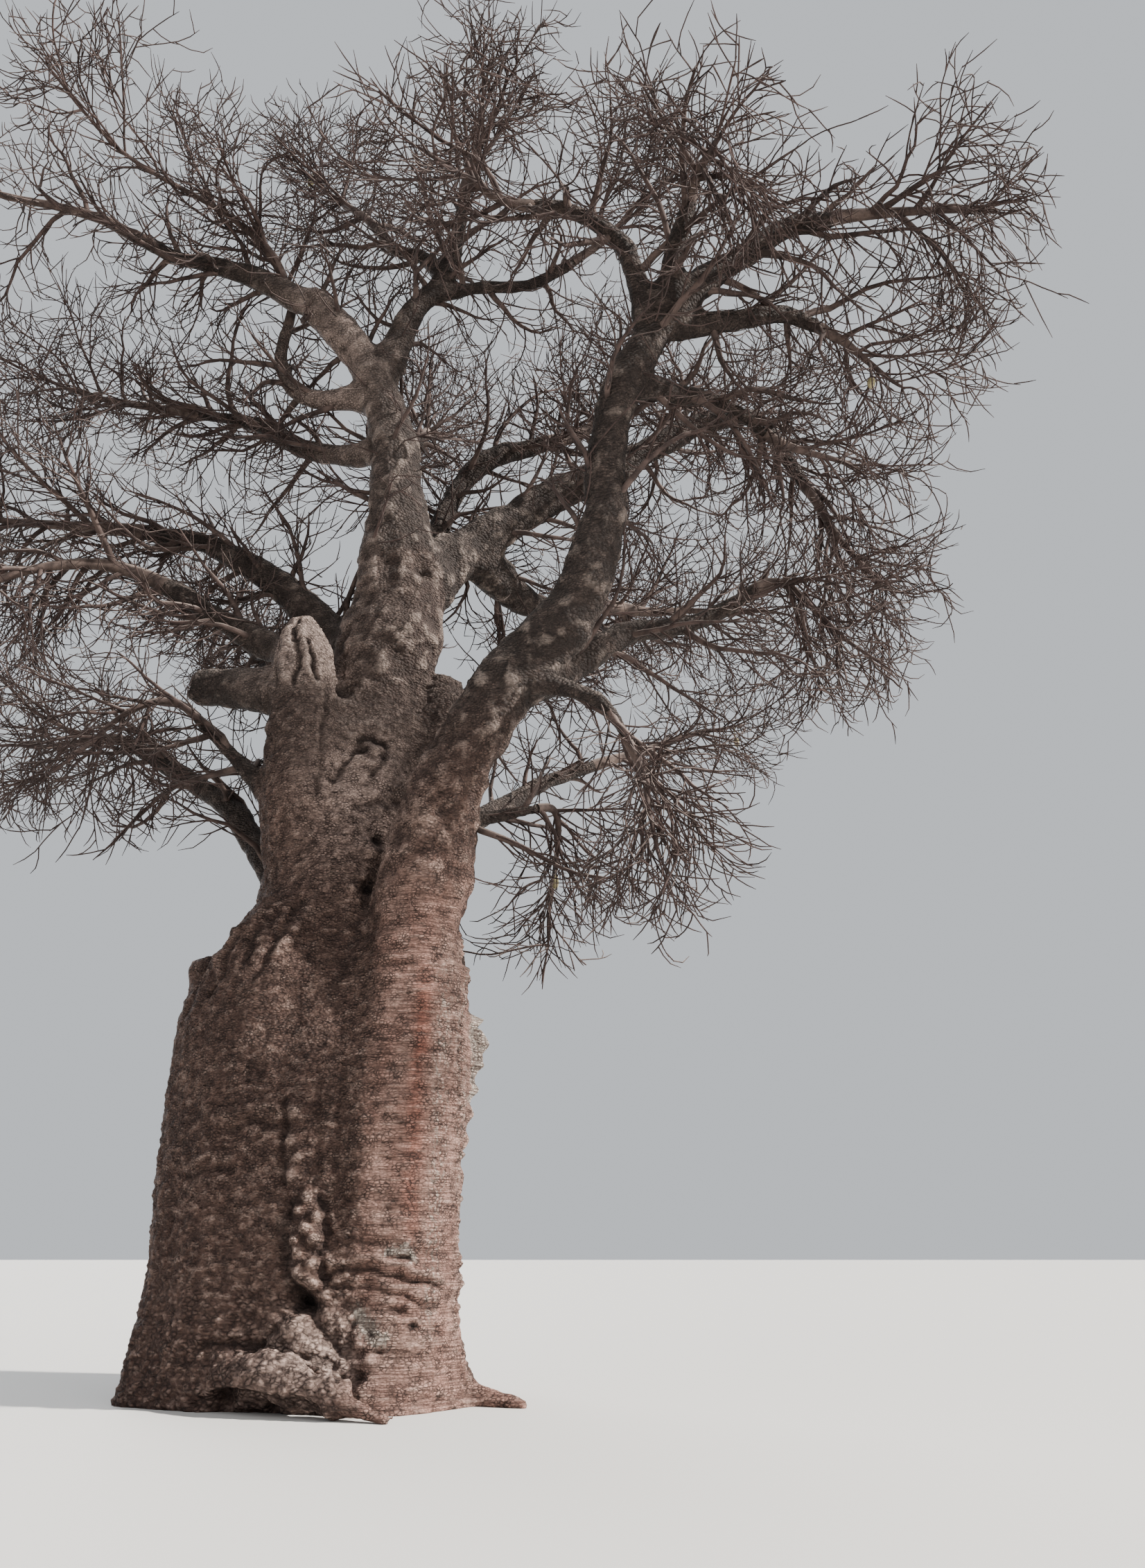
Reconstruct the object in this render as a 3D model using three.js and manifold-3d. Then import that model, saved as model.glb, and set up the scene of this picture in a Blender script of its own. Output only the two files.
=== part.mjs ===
// A leafless baobab tree: a stout fused trunk, tapering boughs and masses of bare twigs.
// Places and radii below are in metres. The origin is the middle of the flat cut at ground
// level, +Z is up, the heavy right limb leans to +X and -Y.

import * as THREE from "three";
import Module from "manifold-3d";

const wasm = await Module();
wasm.setup();

const MILLIMETRES = 1000;
const CLEARANCE = 0.00035; // between two neighbouring pieces, metres
const TRUNK_CLEARANCE = 0.00084; // the same, measured out from the core, askew to the lobes' flanks
const RIBS = 34; // corners round the trunk
const LOBE_POWER = 9; // how sharply neighbouring trunk lobes crease
const GOLDEN_ANGLE = 2.39996;

// The trunk's core, station by station up to the fork: height, x, y, radius
const CORE = [
  [0.0, -0.1, 0.1, 1.36],
  [3.0, -0.08, 0.1, 1.28],
  [5.5, -0.05, 0.15, 1.17],
  [7.5, 0.08, 0.2, 1.0],
  [9.1, 0.32, 0.3, 0.78],
];

// Fused columns that swell out of the core and end in a rounded shoulder
const LOBES = [
  { x: 1.2, y: -0.95, radius: 0.64, top: 6.5, shoulder: 3.0 },
  { x: 0.4, y: -0.7, radius: 0.86, top: 5.3, shoulder: 2.6 },
  { x: 0.94, y: -0.3, radius: 0.84, top: 5.9, shoulder: 2.4 },
  { x: -1.02, y: -0.25, radius: 0.86, top: 5.3, shoulder: 1.1 },
  { x: -0.62, y: -0.7, radius: 0.72, top: 5.9, shoulder: 1.5 },
  { x: 0.8, y: 0.95, radius: 0.9, top: 6.6, shoulder: 2.0 },
  { x: -0.7, y: 1.0, radius: 0.84, top: 5.4, shoulder: 1.6 },
];

// Buttresses that spread where the trunk meets the ground: bearing in degrees, reach
const FLARES = [
  [-150, 0.14],
  [-62, 0.26],
  [-18, 0.3],
  [28, 0.3],
  [82, 0.26],
  [128, 0.34],
  [172, 0.16],
];
const FLARE_HEIGHT = 0.42;
const FLARE_WIDTH = 14; // degrees

// Limbs fused into the trunk: the broken stump, a lower one behind the right limb, a dead stub on
// the right, a root that arches over the ground in front and one that lies along it
const FUSED = [
  {
    sides: 12,
    radii: [0.66, 0.66, 0.52, 0.42, 0.2],
    via: [[-0.2, 0.1, 5.6], [-0.47, -0.36, 7.2], [-0.58, -0.54, 8.6], [-0.66, -0.66, 9.6], [-0.72, -0.7, 10.05]],
  },
  {
    sides: 10,
    radii: [0.6, 0.5, 0.4, 0.2],
    via: [[0.7, 0.3, 6.6], [1.02, 0.25, 8.0], [1.24, 0.2, 9.0], [1.36, 0.15, 9.5]],
  },
  {
    sides: 7,
    radii: [0.3, 0.21],
    via: [[1.42, -0.5, 2.2], [1.79, -0.6, 4.15]],
  },
  {
    sides: 8,
    radii: [0.24, 0.24, 0.19, 0.09],
    via: [[-1.0, -0.95, 0.2], [-0.15, -1.68, 0.32], [0.6, -2.05, 0.2], [1.4, -2.36, 0.02]],
  },
  {
    sides: 8,
    radii: [0.3, 0.2, 0.1],
    via: [[1.3, -0.5, 0.16], [2.1, -0.8, 0.06], [2.7, -1.1, 0.01]],
  },
];

// Boughs, each one tapering limb: its root inside the trunk, or the limb it leaves and how far
// along that limb, then its radii at root and tip, corners round it and where it runs
const BOUGHS = {
  right_limb_low: {
    root: [1.1, -0.72, 5.0], radii: [0.56, 0.35], sides: 12,
    via: [[1.34, -1.0, 6.2], [1.74, -1.6, 7.35], [2.4, -2.0, 8.35], [3.12, -2.4, 9.11]],
  },
  right_limb_high: {
    from: "right_limb_low", at: 0.97, radii: [0.325, 0.225], sides: 12,
    via: [[3.55, -2.78, 10.1], [3.68, -3.1, 11.3], [4.05, -3.4, 12.4], [4.88, -3.5, 13.5]],
  },
  right_top: {
    from: "right_limb_high", at: 0.95, radii: [0.19, 0.11], sides: 8,
    via: [[5.3, -3.5, 13.86], [5.95, -3.6, 14.33], [6.77, -3.8, 14.31]],
  },
  right_side: {
    from: "right_limb_high", at: 0.88, radii: [0.16, 0.09], sides: 7,
    via: [[5.3, -3.2, 13.15], [6.0, -3.1, 13.35], [6.6, -3.0, 13.2]],
  },
  right_hang: {
    from: "right_limb_high", at: 0.67, radii: [0.15, 0.09], sides: 7,
    via: [[4.6, -2.8, 12.3], [5.3, -2.4, 12.4], [5.9, -2.1, 12.2]],
  },
  right_crest: {
    from: "right_limb_high", at: 0.91, radii: [0.17, 0.1], sides: 8,
    via: [[4.55, -3.85, 13.6], [4.65, -4.25, 14.1]],
  },
  right_inner: {
    from: "right_limb_high", at: 0.84, radii: [0.17, 0.095], sides: 8,
    via: [[3.95, -3.62, 14.0], [3.25, -3.8, 14.5], [2.6, -3.95, 14.4]],
  },
  rose: {
    from: "right_limb_low", at: 0.72, radii: [0.24, 0.1], sides: 8,
    via: [[3.14, -1.6, 8.72], [4.05, -1.2, 9.5], [4.95, -1.0, 9.85], [5.7, -1.0, 10.4]],
  },
  low_right: {
    from: "right_limb_low", at: 0.75, radii: [0.13, 0.07], sides: 7,
    via: [[3.2, -2.35, 8.05], [3.62, -2.5, 7.7], [3.85, -2.55, 7.25]],
  },
  low_inner: {
    from: "right_limb_low", at: 0.36, radii: [0.12, 0.07], sides: 7,
    via: [[2.15, -0.7, 7.0], [2.75, -0.4, 7.25]],
  },
  central_stem_low: {
    root: [0.28, 0.28, 8.85], radii: [0.74, 0.56], sides: 12,
    via: [[0.4, 0.2, 9.8], [0.56, 0.08, 11.0]],
  },
  central_stem_high: {
    from: "central_stem_low", at: 0.83, radii: [0.46, 0.24], sides: 10,
    via: [[0.44, -0.1, 12.0], [0.33, -0.4, 13.44], [-0.1, -0.7, 14.65], [-0.95, -1.0, 15.75]],
  },
  middle_bough: {
    from: "central_stem_low", at: 0.87, radii: [0.42, 0.2], sides: 9,
    via: [[1.56, 0.5, 12.05], [2.7, 0.8, 13.2], [4.24, 0.8, 14.06], [5.5, 0.8, 14.85]],
  },
  middle_drop: {
    from: "middle_bough", at: 0.97, radii: [0.175, 0.11], sides: 9,
    via: [[6.15, 0.6, 14.72], [6.65, 0.48, 14.1], [6.9, 0.3, 13.03]],
  },
  middle_rise: {
    from: "middle_bough", at: 0.75, radii: [0.15, 0.09], sides: 7,
    via: [[4.9, 1.5, 14.9], [5.3, 1.9, 15.9]],
  },
  arch: {
    from: "central_stem_low", at: 0.95, radii: [0.22, 0.15], sides: 8,
    via: [[0.75, 0.75, 12.2], [1.2, 1.05, 13.5], [2.0, 1.3, 14.6], [2.75, 1.5, 14.95]],
  },
  behind: {
    from: "middle_bough", at: 0.24, radii: [0.3, 0.18], sides: 8,
    via: [[2.0, 1.15, 11.8], [2.6, 1.9, 11.7], [3.5, 2.8, 12.3]],
  },
  cut_stub: {
    root: [-0.7, -0.45, 8.95], radii: [0.29, 0.26], sides: 10,
    via: [[-1.5, -0.3, 9.1], [-2.35, -0.15, 9.2]],
  },
  left_upper: {
    from: "central_stem_low", at: 0.45, radii: [0.32, 0.13], sides: 8,
    via: [[-0.6, 0.75, 10.6], [-1.59, 0.7, 11.5], [-2.6, 0.6, 12.1], [-3.8, 0.45, 12.3]],
  },
  left_middle: {
    root: [-0.6, -0.35, 9.35], radii: [0.26, 0.14], sides: 8,
    via: [[-1.3, 0.15, 10.0], [-2.1, 0.15, 10.45], [-2.97, -0.1, 10.95]],
  },
  left_low: {
    root: [-0.85, -0.3, 7.3], radii: [0.16, 0.08], sides: 7,
    via: [[-1.5, -0.35, 7.95], [-2.15, -0.5, 8.65]],
  },
  left_high: {
    from: "central_stem_high", at: 0.475, radii: [0.19, 0.1], sides: 7,
    via: [[-1.0, 0.2, 13.7], [-2.2, 0.6, 14.5], [-3.2, 0.7, 14.8]],
  },
  top_left: {
    from: "central_stem_high", at: 0.965, radii: [0.2, 0.1], sides: 8,
    via: [[-1.87, -1.1, 15.98], [-2.9, -1.3, 16.2], [-3.8, -1.6, 16.45]],
  },
  left_elbow: {
    from: "central_stem_high", at: 0.66, radii: [0.18, 0.09], sides: 7,
    via: [[-1.0, -0.35, 14.3], [-1.5, -0.3, 14.9], [-1.45, -0.4, 15.7]],
  },
  top_middle: {
    from: "central_stem_high", at: 0.69, radii: [0.24, 0.11], sides: 8,
    via: [[0.6, -0.8, 15.46], [1.15, -0.95, 16.3], [1.34, -1.2, 17.7]],
  },
  top_fork_left: {
    from: "top_middle", at: 0.63, radii: [0.14, 0.09], sides: 7,
    via: [[0.7, -0.75, 16.8], [0.1, -0.6, 17.1], [-0.2, -0.5, 17.7]],
  },
  top_fork_right: {
    from: "top_middle", at: 0.5, radii: [0.13, 0.08], sides: 7,
    via: [[1.78, -0.8, 16.15], [2.6, -0.8, 16.25], [3.3, -0.9, 16.6]],
  },
  back_left: {
    root: [-0.15, 0.6, 7.4], radii: [0.44, 0.2], sides: 9,
    via: [[-1.0, 1.9, 9.4], [-2.2, 3.2, 11.3], [-3.2, 4.4, 12.6]],
  },
  back_low_left: {
    root: [-0.55, 0.7, 5.8], radii: [0.24, 0.11], sides: 8,
    via: [[-1.9, 1.7, 7.6], [-3.4, 2.4, 9.0], [-4.4, 2.7, 9.5]],
  },
  back_right: {
    root: [0.5, 0.6, 7.9], radii: [0.42, 0.2], sides: 9,
    via: [[1.3, 2.2, 9.8], [2.1, 3.8, 11.4], [2.9, 5.0, 12.8]],
  },
  back_low_right: {
    root: [0.6, 0.9, 6.0], radii: [0.25, 0.12], sides: 8,
    via: [[1.2, 2.3, 7.7], [2.2, 3.7, 9.0], [3.6, 4.4, 9.9]],
  },
  back_top: {
    from: "central_stem_high", at: 0.35, radii: [0.24, 0.13], sides: 8,
    via: [[0.25, 1.2, 14.0], [0.1, 2.5, 15.2], [0.2, 3.4, 16.4]],
  },
};

// Masses of twigs: the bough each carries on, its furthest twig, how wide it spreads and how
// much its twigs rise (or, below nought, hang)
const MASSES = {
  twigs_right_top: { on: "right_top", to: [8.8, -4.1, 14.0], spread: 1.6, lift: -0.1 },
  twigs_right_side: { on: "right_side", to: [7.6, -3.0, 12.2], spread: 1.3, lift: 0.05 },
  twigs_right_hang: { on: "right_hang", to: [7.3, -1.6, 11.9], spread: 1.4, lift: 0.1 },
  twigs_right_crest: { on: "right_crest", to: [4.9, -5.6, 13.5], spread: 1.3, lift: -0.15 },
  twigs_right_inner: { on: "right_inner", to: [1.3, -4.9, 14.4], spread: 1.6, lift: 0.15 },
  twigs_rose: { on: "rose", to: [7.3, -1.2, 9.2], spread: 1.6, lift: 0.1 },
  twigs_low_right: { on: "low_right", to: [4.2, -3.1, 5.6], spread: 1.1, lift: -0.3 },
  twigs_low_inner: { on: "low_inner", to: [2.9, 0.3, 5.5], spread: 1.1, lift: -0.3 },
  twigs_middle_drop: { on: "middle_drop", to: [8.2, 0.2, 10.9], spread: 1.8, lift: -0.1 },
  twigs_middle_rise: { on: "middle_rise", to: [7.2, 3.0, 16.8], spread: 2.0, lift: 0.45 },
  twigs_arch: { on: "arch", to: [4.4, 2.8, 18.0], spread: 2.0, lift: 0.5 },
  twigs_behind: { on: "behind", to: [6.6, 4.4, 13.2], spread: 2.0, lift: 0.2 },
  twigs_left_upper: { on: "left_upper", to: [-7.6, 0.8, 13.2], spread: 2.1, lift: 0.3 },
  twigs_left_middle: { on: "left_middle", to: [-6.6, -1.2, 10.0], spread: 1.9, lift: 0.0 },
  twigs_left_low: { on: "left_low", to: [-4.0, -1.2, 7.2], spread: 1.4, lift: -0.2 },
  twigs_left_high: { on: "left_high", to: [-6.6, 1.2, 16.2], spread: 2.0, lift: 0.3 },
  twigs_top_left: { on: "top_left", to: [-7.4, -2.6, 17.0], spread: 2.2, lift: 0.4 },
  twigs_left_elbow: { on: "left_elbow", to: [-4.6, -3.6, 17.6], spread: 2.2, lift: 0.35 },
  twigs_top_middle: { on: "top_middle", to: [2.2, -2.0, 19.5], spread: 1.9, lift: 0.4 },
  twigs_top_fork_left: { on: "top_fork_left", to: [-1.6, 0.2, 20.2], spread: 1.9, lift: 0.5 },
  twigs_top_fork_right: { on: "top_fork_right", to: [5.1, -1.2, 18.7], spread: 1.9, lift: 0.45 },
  twigs_back_left: { on: "back_left", to: [-5.0, 7.4, 14.8], spread: 2.4, lift: 0.4 },
  twigs_back_low_left: { on: "back_low_left", to: [-7.2, 4.2, 10.2], spread: 1.9, lift: 0.1 },
  twigs_back_right: { on: "back_right", to: [4.4, 7.8, 15.0], spread: 2.4, lift: 0.4 },
  twigs_back_low_right: { on: "back_low_right", to: [6.8, 5.6, 11.4], spread: 1.9, lift: 0.1 },
  twigs_back_top: { on: "back_top", to: [0.2, 6.0, 19.0], spread: 2.3, lift: 0.5 },
};

// Twigs: the branching rule's sizes
const STEM_SPANS = 4; // straight pieces in a mass's stem
const LATERALS = 6; // side twigs on a stem
const SHOOTS = 3; // shoots on a side twig
const TWIG_TIP = 0.012; // radius where a twig ends, metres
const TWIG_ROOM = 0.06; // least distance between a twig and any other limb, metres

// Fruit pods that hang below the stems: the mass and how far along its stem each one hangs
const PODS = [
  { on: "twigs_top_fork_left", at: 0.92 },
  { on: "twigs_low_inner", at: 0.55 },
  { on: "twigs_back_low_right", at: 0.9 },
  { on: "twigs_right_side", at: 0.57 },
];
const STALK = 0.24; // from the stem down to the pod, metres
const POD_LENGTH = 0.2;
const POD_RADIUS = 0.055;

const BARK = { color: 0x7d6a5c, roughness: 0.9, metalness: 0 };
const TWIG = { color: 0x5a4a40, roughness: 0.85, metalness: 0 };

const vector = (p) => new THREE.Vector3(p[0], p[1], p[2]);
const mix = (a, b, t) => a + (b - a) * t;

// Returns the next number from 0 to 1 each time it is called
function seeded(seed) {
  let state = seed;
  return () => {
    state = (state + 0x6d2b79f5) | 0;
    let t = Math.imul(state ^ (state >>> 15), 1 | state);
    t = (t + Math.imul(t ^ (t >>> 7), 61 | t)) ^ t;
    return ((t ^ (t >>> 14)) >>> 0) / 4294967296;
  };
}

// Skins a stack of rings of equal length, with a flat or a pointed end
function skin(rings, apex) {
  const count = rings[0].length;
  const points = rings.flat();
  const faces = [];
  for (let i = 0; i < rings.length - 1; i++) {
    for (let k = 0; k < count; k++) {
      const next = (k + 1) % count;
      const low = i * count;
      const high = low + count;
      faces.push([low + k, low + next, high + next], [low + k, high + next, high + k]);
    }
  }
  for (let k = 1; k < count - 1; k++) faces.push([0, k + 1, k]);
  const last = (rings.length - 1) * count;
  if (apex) {
    points.push(apex);
    for (let k = 0; k < count; k++) faces.push([last + k, last + ((k + 1) % count), points.length - 1]);
  } else {
    for (let k = 1; k < count - 1; k++) faces.push([last, last + k, last + k + 1]);
  }
  return toManifold(points, faces);
}

function toManifold(points, faces) {
  const vertProperties = new Float32Array(points.flatMap((p) => [p.x, p.y, p.z].map((v) => v * MILLIMETRES)));
  const triVerts = new Uint32Array(faces.flat());
  return new wasm.Manifold(new wasm.Mesh({ numProp: 3, vertProperties, triVerts }));
}

function toMesh(name, manifold, look) {
  const { vertProperties, triVerts } = manifold.getMesh();
  const geometry = new THREE.BufferGeometry();
  geometry.setAttribute("position", new THREE.BufferAttribute(new Float32Array(vertProperties), 3));
  geometry.setIndex(new THREE.BufferAttribute(new Uint32Array(triVerts), 1));
  const mesh = new THREE.Mesh(geometry, new THREE.MeshStandardMaterial(look));
  mesh.name = name;
  return mesh;
}

// Directions along a path, one at each of its points
function tangents(path) {
  return path.map((_, i) => {
    const before = path[Math.max(i - 1, 0)];
    const after = path[Math.min(i + 1, path.length - 1)];
    return after.clone().sub(before).normalize();
  });
}

// Tapering limb round a path, with its section carried along without twisting
function tube({ path, radii, sides, along = tangents(path), grow = 0, pointed = false }) {
  const side = new THREE.Vector3(0.31, 0.87, 0.39);
  const rings = [];
  const last = path.length - 1;
  for (let i = 0; i <= (pointed ? last - 1 : last); i++) {
    side.addScaledVector(along[i], -side.dot(along[i])).normalize();
    const across = along[i].clone().cross(side);
    const centre = path[i].clone();
    if (i === 0) centre.addScaledVector(along[i], -grow);
    if (i === last) centre.addScaledVector(along[i], grow);
    const ring = [];
    for (let k = 0; k < sides; k++) {
      const angle = (2 * Math.PI * k) / sides;
      const radius = radii[i] + grow;
      ring.push(
        centre.clone()
          .addScaledVector(side, radius * Math.cos(angle))
          .addScaledVector(across, radius * Math.sin(angle)),
      );
    }
    rings.push(ring);
  }
  return skin(rings, pointed ? path[last] : undefined);
}

// Smooth path through the named places, two pieces to each stretch
function curve(via) {
  const spline = new THREE.CatmullRomCurve3(via.map(vector), false, "centripetal");
  const count = (via.length - 1) * 2;
  return Array.from({ length: count + 1 }, (_, i) => spline.getPoint(i / count));
}

function limbShape({ via, radii, sides }) {
  const path = curve(via);
  const at = (i) => {
    const place = (i / (path.length - 1)) * (radii.length - 1);
    const low = Math.min(Math.floor(place), radii.length - 2);
    return mix(radii[low], radii[low + 1], place - low);
  };
  return { path, radii: path.map((_, i) => at(i)), sides };
}

// Core of the trunk at a height: its middle and radius
function coreAt(height) {
  let i = 0;
  while (i < CORE.length - 2 && height > CORE[i + 1][0]) i++;
  const t = (height - CORE[i][0]) / (CORE[i + 1][0] - CORE[i][0]);
  const [x, y, radius] = [1, 2, 3].map((k) => mix(CORE[i][k], CORE[i + 1][k], t));
  return { x, y, radius };
}

// Distance from the core's middle out to a lobe's far side, or nought where the lobe is missed
function lobeReach(lobe, core, bearing, height) {
  const over = Math.max(0, (height - lobe.top + lobe.shoulder) / lobe.shoulder);
  if (over >= 1) return 0;
  const radius = lobe.radius * Math.sqrt(1 - over * over);
  const [dx, dy] = [lobe.x - core.x, lobe.y - core.y];
  const forward = dx * Math.cos(bearing) + dy * Math.sin(bearing);
  const inside = radius * radius - (dx * dx + dy * dy - forward * forward);
  return inside > 0 ? Math.max(0, forward + Math.sqrt(inside)) : 0;
}

function flareReach(bearing, height) {
  let reach = 0;
  for (const [degrees, size] of FLARES) {
    const turn = THREE.MathUtils.euclideanModulo((bearing * 180) / Math.PI - degrees + 180, 360) - 180;
    reach += size * Math.exp(-height / FLARE_HEIGHT) * Math.exp(-((turn / FLARE_WIDTH) ** 2));
  }
  return reach;
}

// One ring of the trunk: the core and its lobes joined by a soft maximum, then the flare
function trunkRing(height, grow) {
  const core = coreAt(height);
  const ring = [];
  for (let k = 0; k < RIBS; k++) {
    const bearing = (2 * Math.PI * k) / RIBS;
    let sum = core.radius ** LOBE_POWER;
    for (const lobe of LOBES) sum += lobeReach(lobe, core, bearing, height) ** LOBE_POWER;
    const radius = sum ** (1 / LOBE_POWER) + flareReach(bearing, height) + grow;
    const [x, y] = [core.x + radius * Math.cos(bearing), core.y + radius * Math.sin(bearing)];
    ring.push(new THREE.Vector3(x, y, height));
  }
  return ring;
}

const TRUNK_HEIGHTS = [
  0, 0.2, 0.5, 0.9, 1.5, 2.3, 3.3, 4.2, 4.6, 4.9, 5.1, 5.3, 5.6, 6.0, 6.5, 7.2, 8.1, 9.1,
];

function buildTrunk(grow) {
  const rings = TRUNK_HEIGHTS.map((height) => trunkRing(height, grow));
  for (const point of rings.flat()) point.z += grow;
  let trunk = skin(rings);
  for (const limb of FUSED) trunk = trunk.add(tube({ ...limbShape(limb), grow }));
  return trunk.subtract(groundBlock());
}

// Everything below the flat cut at ground level
function groundBlock() {
  const box = new THREE.BoxGeometry(8, 8, 1).translate(0, 0, -0.5);
  const place = box.getAttribute("position");
  const points = [];
  const faces = [];
  const seen = new Map();
  const index = (i) => {
    const p = new THREE.Vector3().fromBufferAttribute(place, i);
    const key = p.toArray().join();
    if (!seen.has(key)) {
      seen.set(key, points.length);
      points.push(p);
    }
    return seen.get(key);
  };
  for (let i = 0; i < box.index.count; i += 3) faces.push([0, 1, 2].map((k) => index(box.index.getX(i + k))));
  return toManifold(points, faces);
}

// Distance from a point to a limb's surface
function gapToLimb(point, limb) {
  let least = Infinity;
  const piece = new THREE.Line3();
  const foot = new THREE.Vector3();
  for (let i = 0; i < limb.path.length - 1; i++) {
    piece.set(limb.path[i], limb.path[i + 1]);
    const t = piece.closestPointToPointParameter(point, true);
    piece.at(t, foot);
    least = Math.min(least, foot.distanceTo(point) - mix(limb.radii[i], limb.radii[i + 1], t));
  }
  return least;
}

// The stem of a mass: it carries on from the bough's tip and curves to its furthest twig
function stemOf({ on, to, lift }) {
  const bough = limbs[on];
  const tip = bough.path.at(-1);
  const heading = tangents(bough.path).at(-1);
  const target = vector(to);
  const length = tip.distanceTo(target);
  const start = tip.clone().addScaledVector(heading, CLEARANCE);
  const lead = start.clone().addScaledVector(heading, length * 0.35);
  const rise = new THREE.Vector3(0, 0, -lift * length * 0.3);
  const trail = target.clone().lerp(tip, 0.35).add(rise);
  const bend = new THREE.CubicBezierCurve3(start, lead, trail, target);
  const path = bend.getPoints(STEM_SPANS);
  const first = bough.radii.at(-1) * 0.94;
  const radii = path.map((_, i) => mix(first, TWIG_TIP * 1.6, (i / STEM_SPANS) ** 0.75));
  const along = path.map((_, i) => bend.getTangent(i / STEM_SPANS));
  return { path, radii, along, sides: 5 };
}

// Place, heading and radius at a share of the way along a limb
function station(limb, share) {
  const spans = limb.path.length - 1;
  const low = Math.min(Math.floor(share * spans), spans - 1);
  const t = share * spans - low;
  const place = limb.path[low].clone().lerp(limb.path[low + 1], t);
  const heading = limb.path[low + 1].clone().sub(limb.path[low]).normalize();
  return { place, heading, radius: mix(limb.radii[low], limb.radii[low + 1], t) };
}

// Direction that leans away from a heading by an angle, towards a bearing round it
function leaned(heading, angle, bearing) {
  const side = new THREE.Vector3(0.31, 0.87, 0.39);
  side.addScaledVector(heading, -side.dot(heading)).normalize();
  const across = heading.clone().cross(side);
  return heading.clone().multiplyScalar(Math.cos(angle))
    .addScaledVector(side, Math.sin(angle) * Math.cos(bearing))
    .addScaledVector(across, Math.sin(angle) * Math.sin(bearing));
}

// Side twig from a share of the way along its parent, curving up or down as it goes
function sideTwig(parent, { share, angle, bearing, length, lift, spans, thickness }) {
  const { place, heading, radius } = station(parent, share);
  const direction = leaned(heading, angle, bearing);
  const path = [place];
  for (let i = 1; i <= spans; i++) {
    direction.z += (lift * 1.1) / spans;
    direction.normalize();
    path.push(path.at(-1).clone().addScaledVector(direction, length / spans));
  }
  const first = radius * thickness;
  const radii = path.map((_, i) => mix(first, TWIG_TIP, i / spans));
  return { path, radii, sides: 3, length };
}

// Whether a twig keeps to its own mass's space and clear of every limb and stem
function isFree(twig, mass) {
  for (let share = 0.3; share <= 1.001; share += 0.1) {
    const { place, radius } = station(twig, Math.min(share, 1));
    const home = gapToLimb(place, mass.stem);
    const room = radius + TWIG_ROOM;
    for (const limb of Object.values(limbs)) {
      if (gapToLimb(place, limb) < room) return false;
    }
    for (const other of Object.values(masses)) {
      if (other !== mass && gapToLimb(place, other.stem) < home + 2 * room) return false;
    }
    if (gapToTrunk(place) < room) return false;
  }
  return true;
}

function gapToTrunk(point) {
  const top = CORE.at(-1)[0];
  const stump = gapToLimb(point, STUMP);
  if (point.z > top + 1) return stump;
  const core = coreAt(Math.min(Math.max(point.z, 0), top));
  const away = Math.hypot(point.x - core.x, point.y - core.y);
  return Math.min(away - core.radius - 1.2, stump);
}

// Twigs of a mass: side twigs round its stem, each with shoots of its own
function growTwigs(mass, seed) {
  const random = seeded(seed);
  const { stem, spread, lift } = mass;
  const twigs = [];
  const turn = random() * 6.28;
  for (let i = 0; i < LATERALS; i++) {
    const share = 0.16 + (0.8 * (i + 0.5 * random())) / LATERALS;
    const lateral = sideTwig(stem, {
      share,
      angle: 0.7 + 0.35 * random(),
      bearing: turn + GOLDEN_ANGLE * i,
      length: spread * (1.15 - 0.5 * share) * (0.85 + 0.3 * random()),
      lift: lift + 0.15,
      spans: 2,
      thickness: 0.6,
    });
    if (!isFree(lateral, mass)) continue;
    twigs.push(lateral);
    twigs.push(...growShoots(lateral, mass, random));
  }
  return twigs;
}

function growShoots(lateral, mass, random) {
  const shoots = [];
  const turn = random() * 6.28;
  for (let j = 0; j < SHOOTS; j++) {
    const shoot = sideTwig(lateral, {
      share: 0.35 + (0.6 * j) / SHOOTS,
      angle: 0.6 + 0.4 * random(),
      bearing: turn + 2.6 * j,
      length: lateral.length * (0.55 - 0.08 * j) * (0.8 + 0.4 * random()),
      lift: mass.lift + 0.3,
      spans: 1,
      thickness: 0.5,
    });
    if (isFree(shoot, mass)) shoots.push(shoot);
  }
  return shoots;
}

// Pod on a stalk that hangs straight down from a mass's stem
function buildPod({ stem }, share) {
  const { place } = station(stem, share);
  const below = (drop) => place.clone().add(new THREE.Vector3(0, 0, -drop));
  const stalk = tube({ path: [place, below(STALK + 0.03)], radii: [TWIG_TIP, TWIG_TIP], sides: 3 });
  const path = [0, 0.25, 0.75, 1].map((t) => below(STALK + POD_LENGTH * t));
  const radii = [POD_RADIUS / 2, POD_RADIUS, POD_RADIUS * 0.8, 0];
  return stalk.add(tube({ path, radii, sides: 6, pointed: true }));
}

function buildMass(name, mass, seed) {
  let solid = tube({ ...mass.stem, pointed: true });
  for (const twig of growTwigs(mass, seed)) solid = solid.add(tube({ ...twig, pointed: true }));
  for (const pod of PODS) {
    if (pod.on === name) solid = solid.add(buildPod(mass, pod.at));
  }
  return solid;
}

const STUMP = limbShape(FUSED[0]);

const limbs = {};
for (const [name, bough] of Object.entries(BOUGHS)) {
  const root = bough.root ?? station(limbs[bough.from], bough.at).place.toArray();
  limbs[name] = limbShape({ ...bough, via: [root, ...bough.via] });
}

const masses = {};
for (const [name, mass] of Object.entries(MASSES)) masses[name] = { ...mass, stem: stemOf(mass) };

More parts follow.
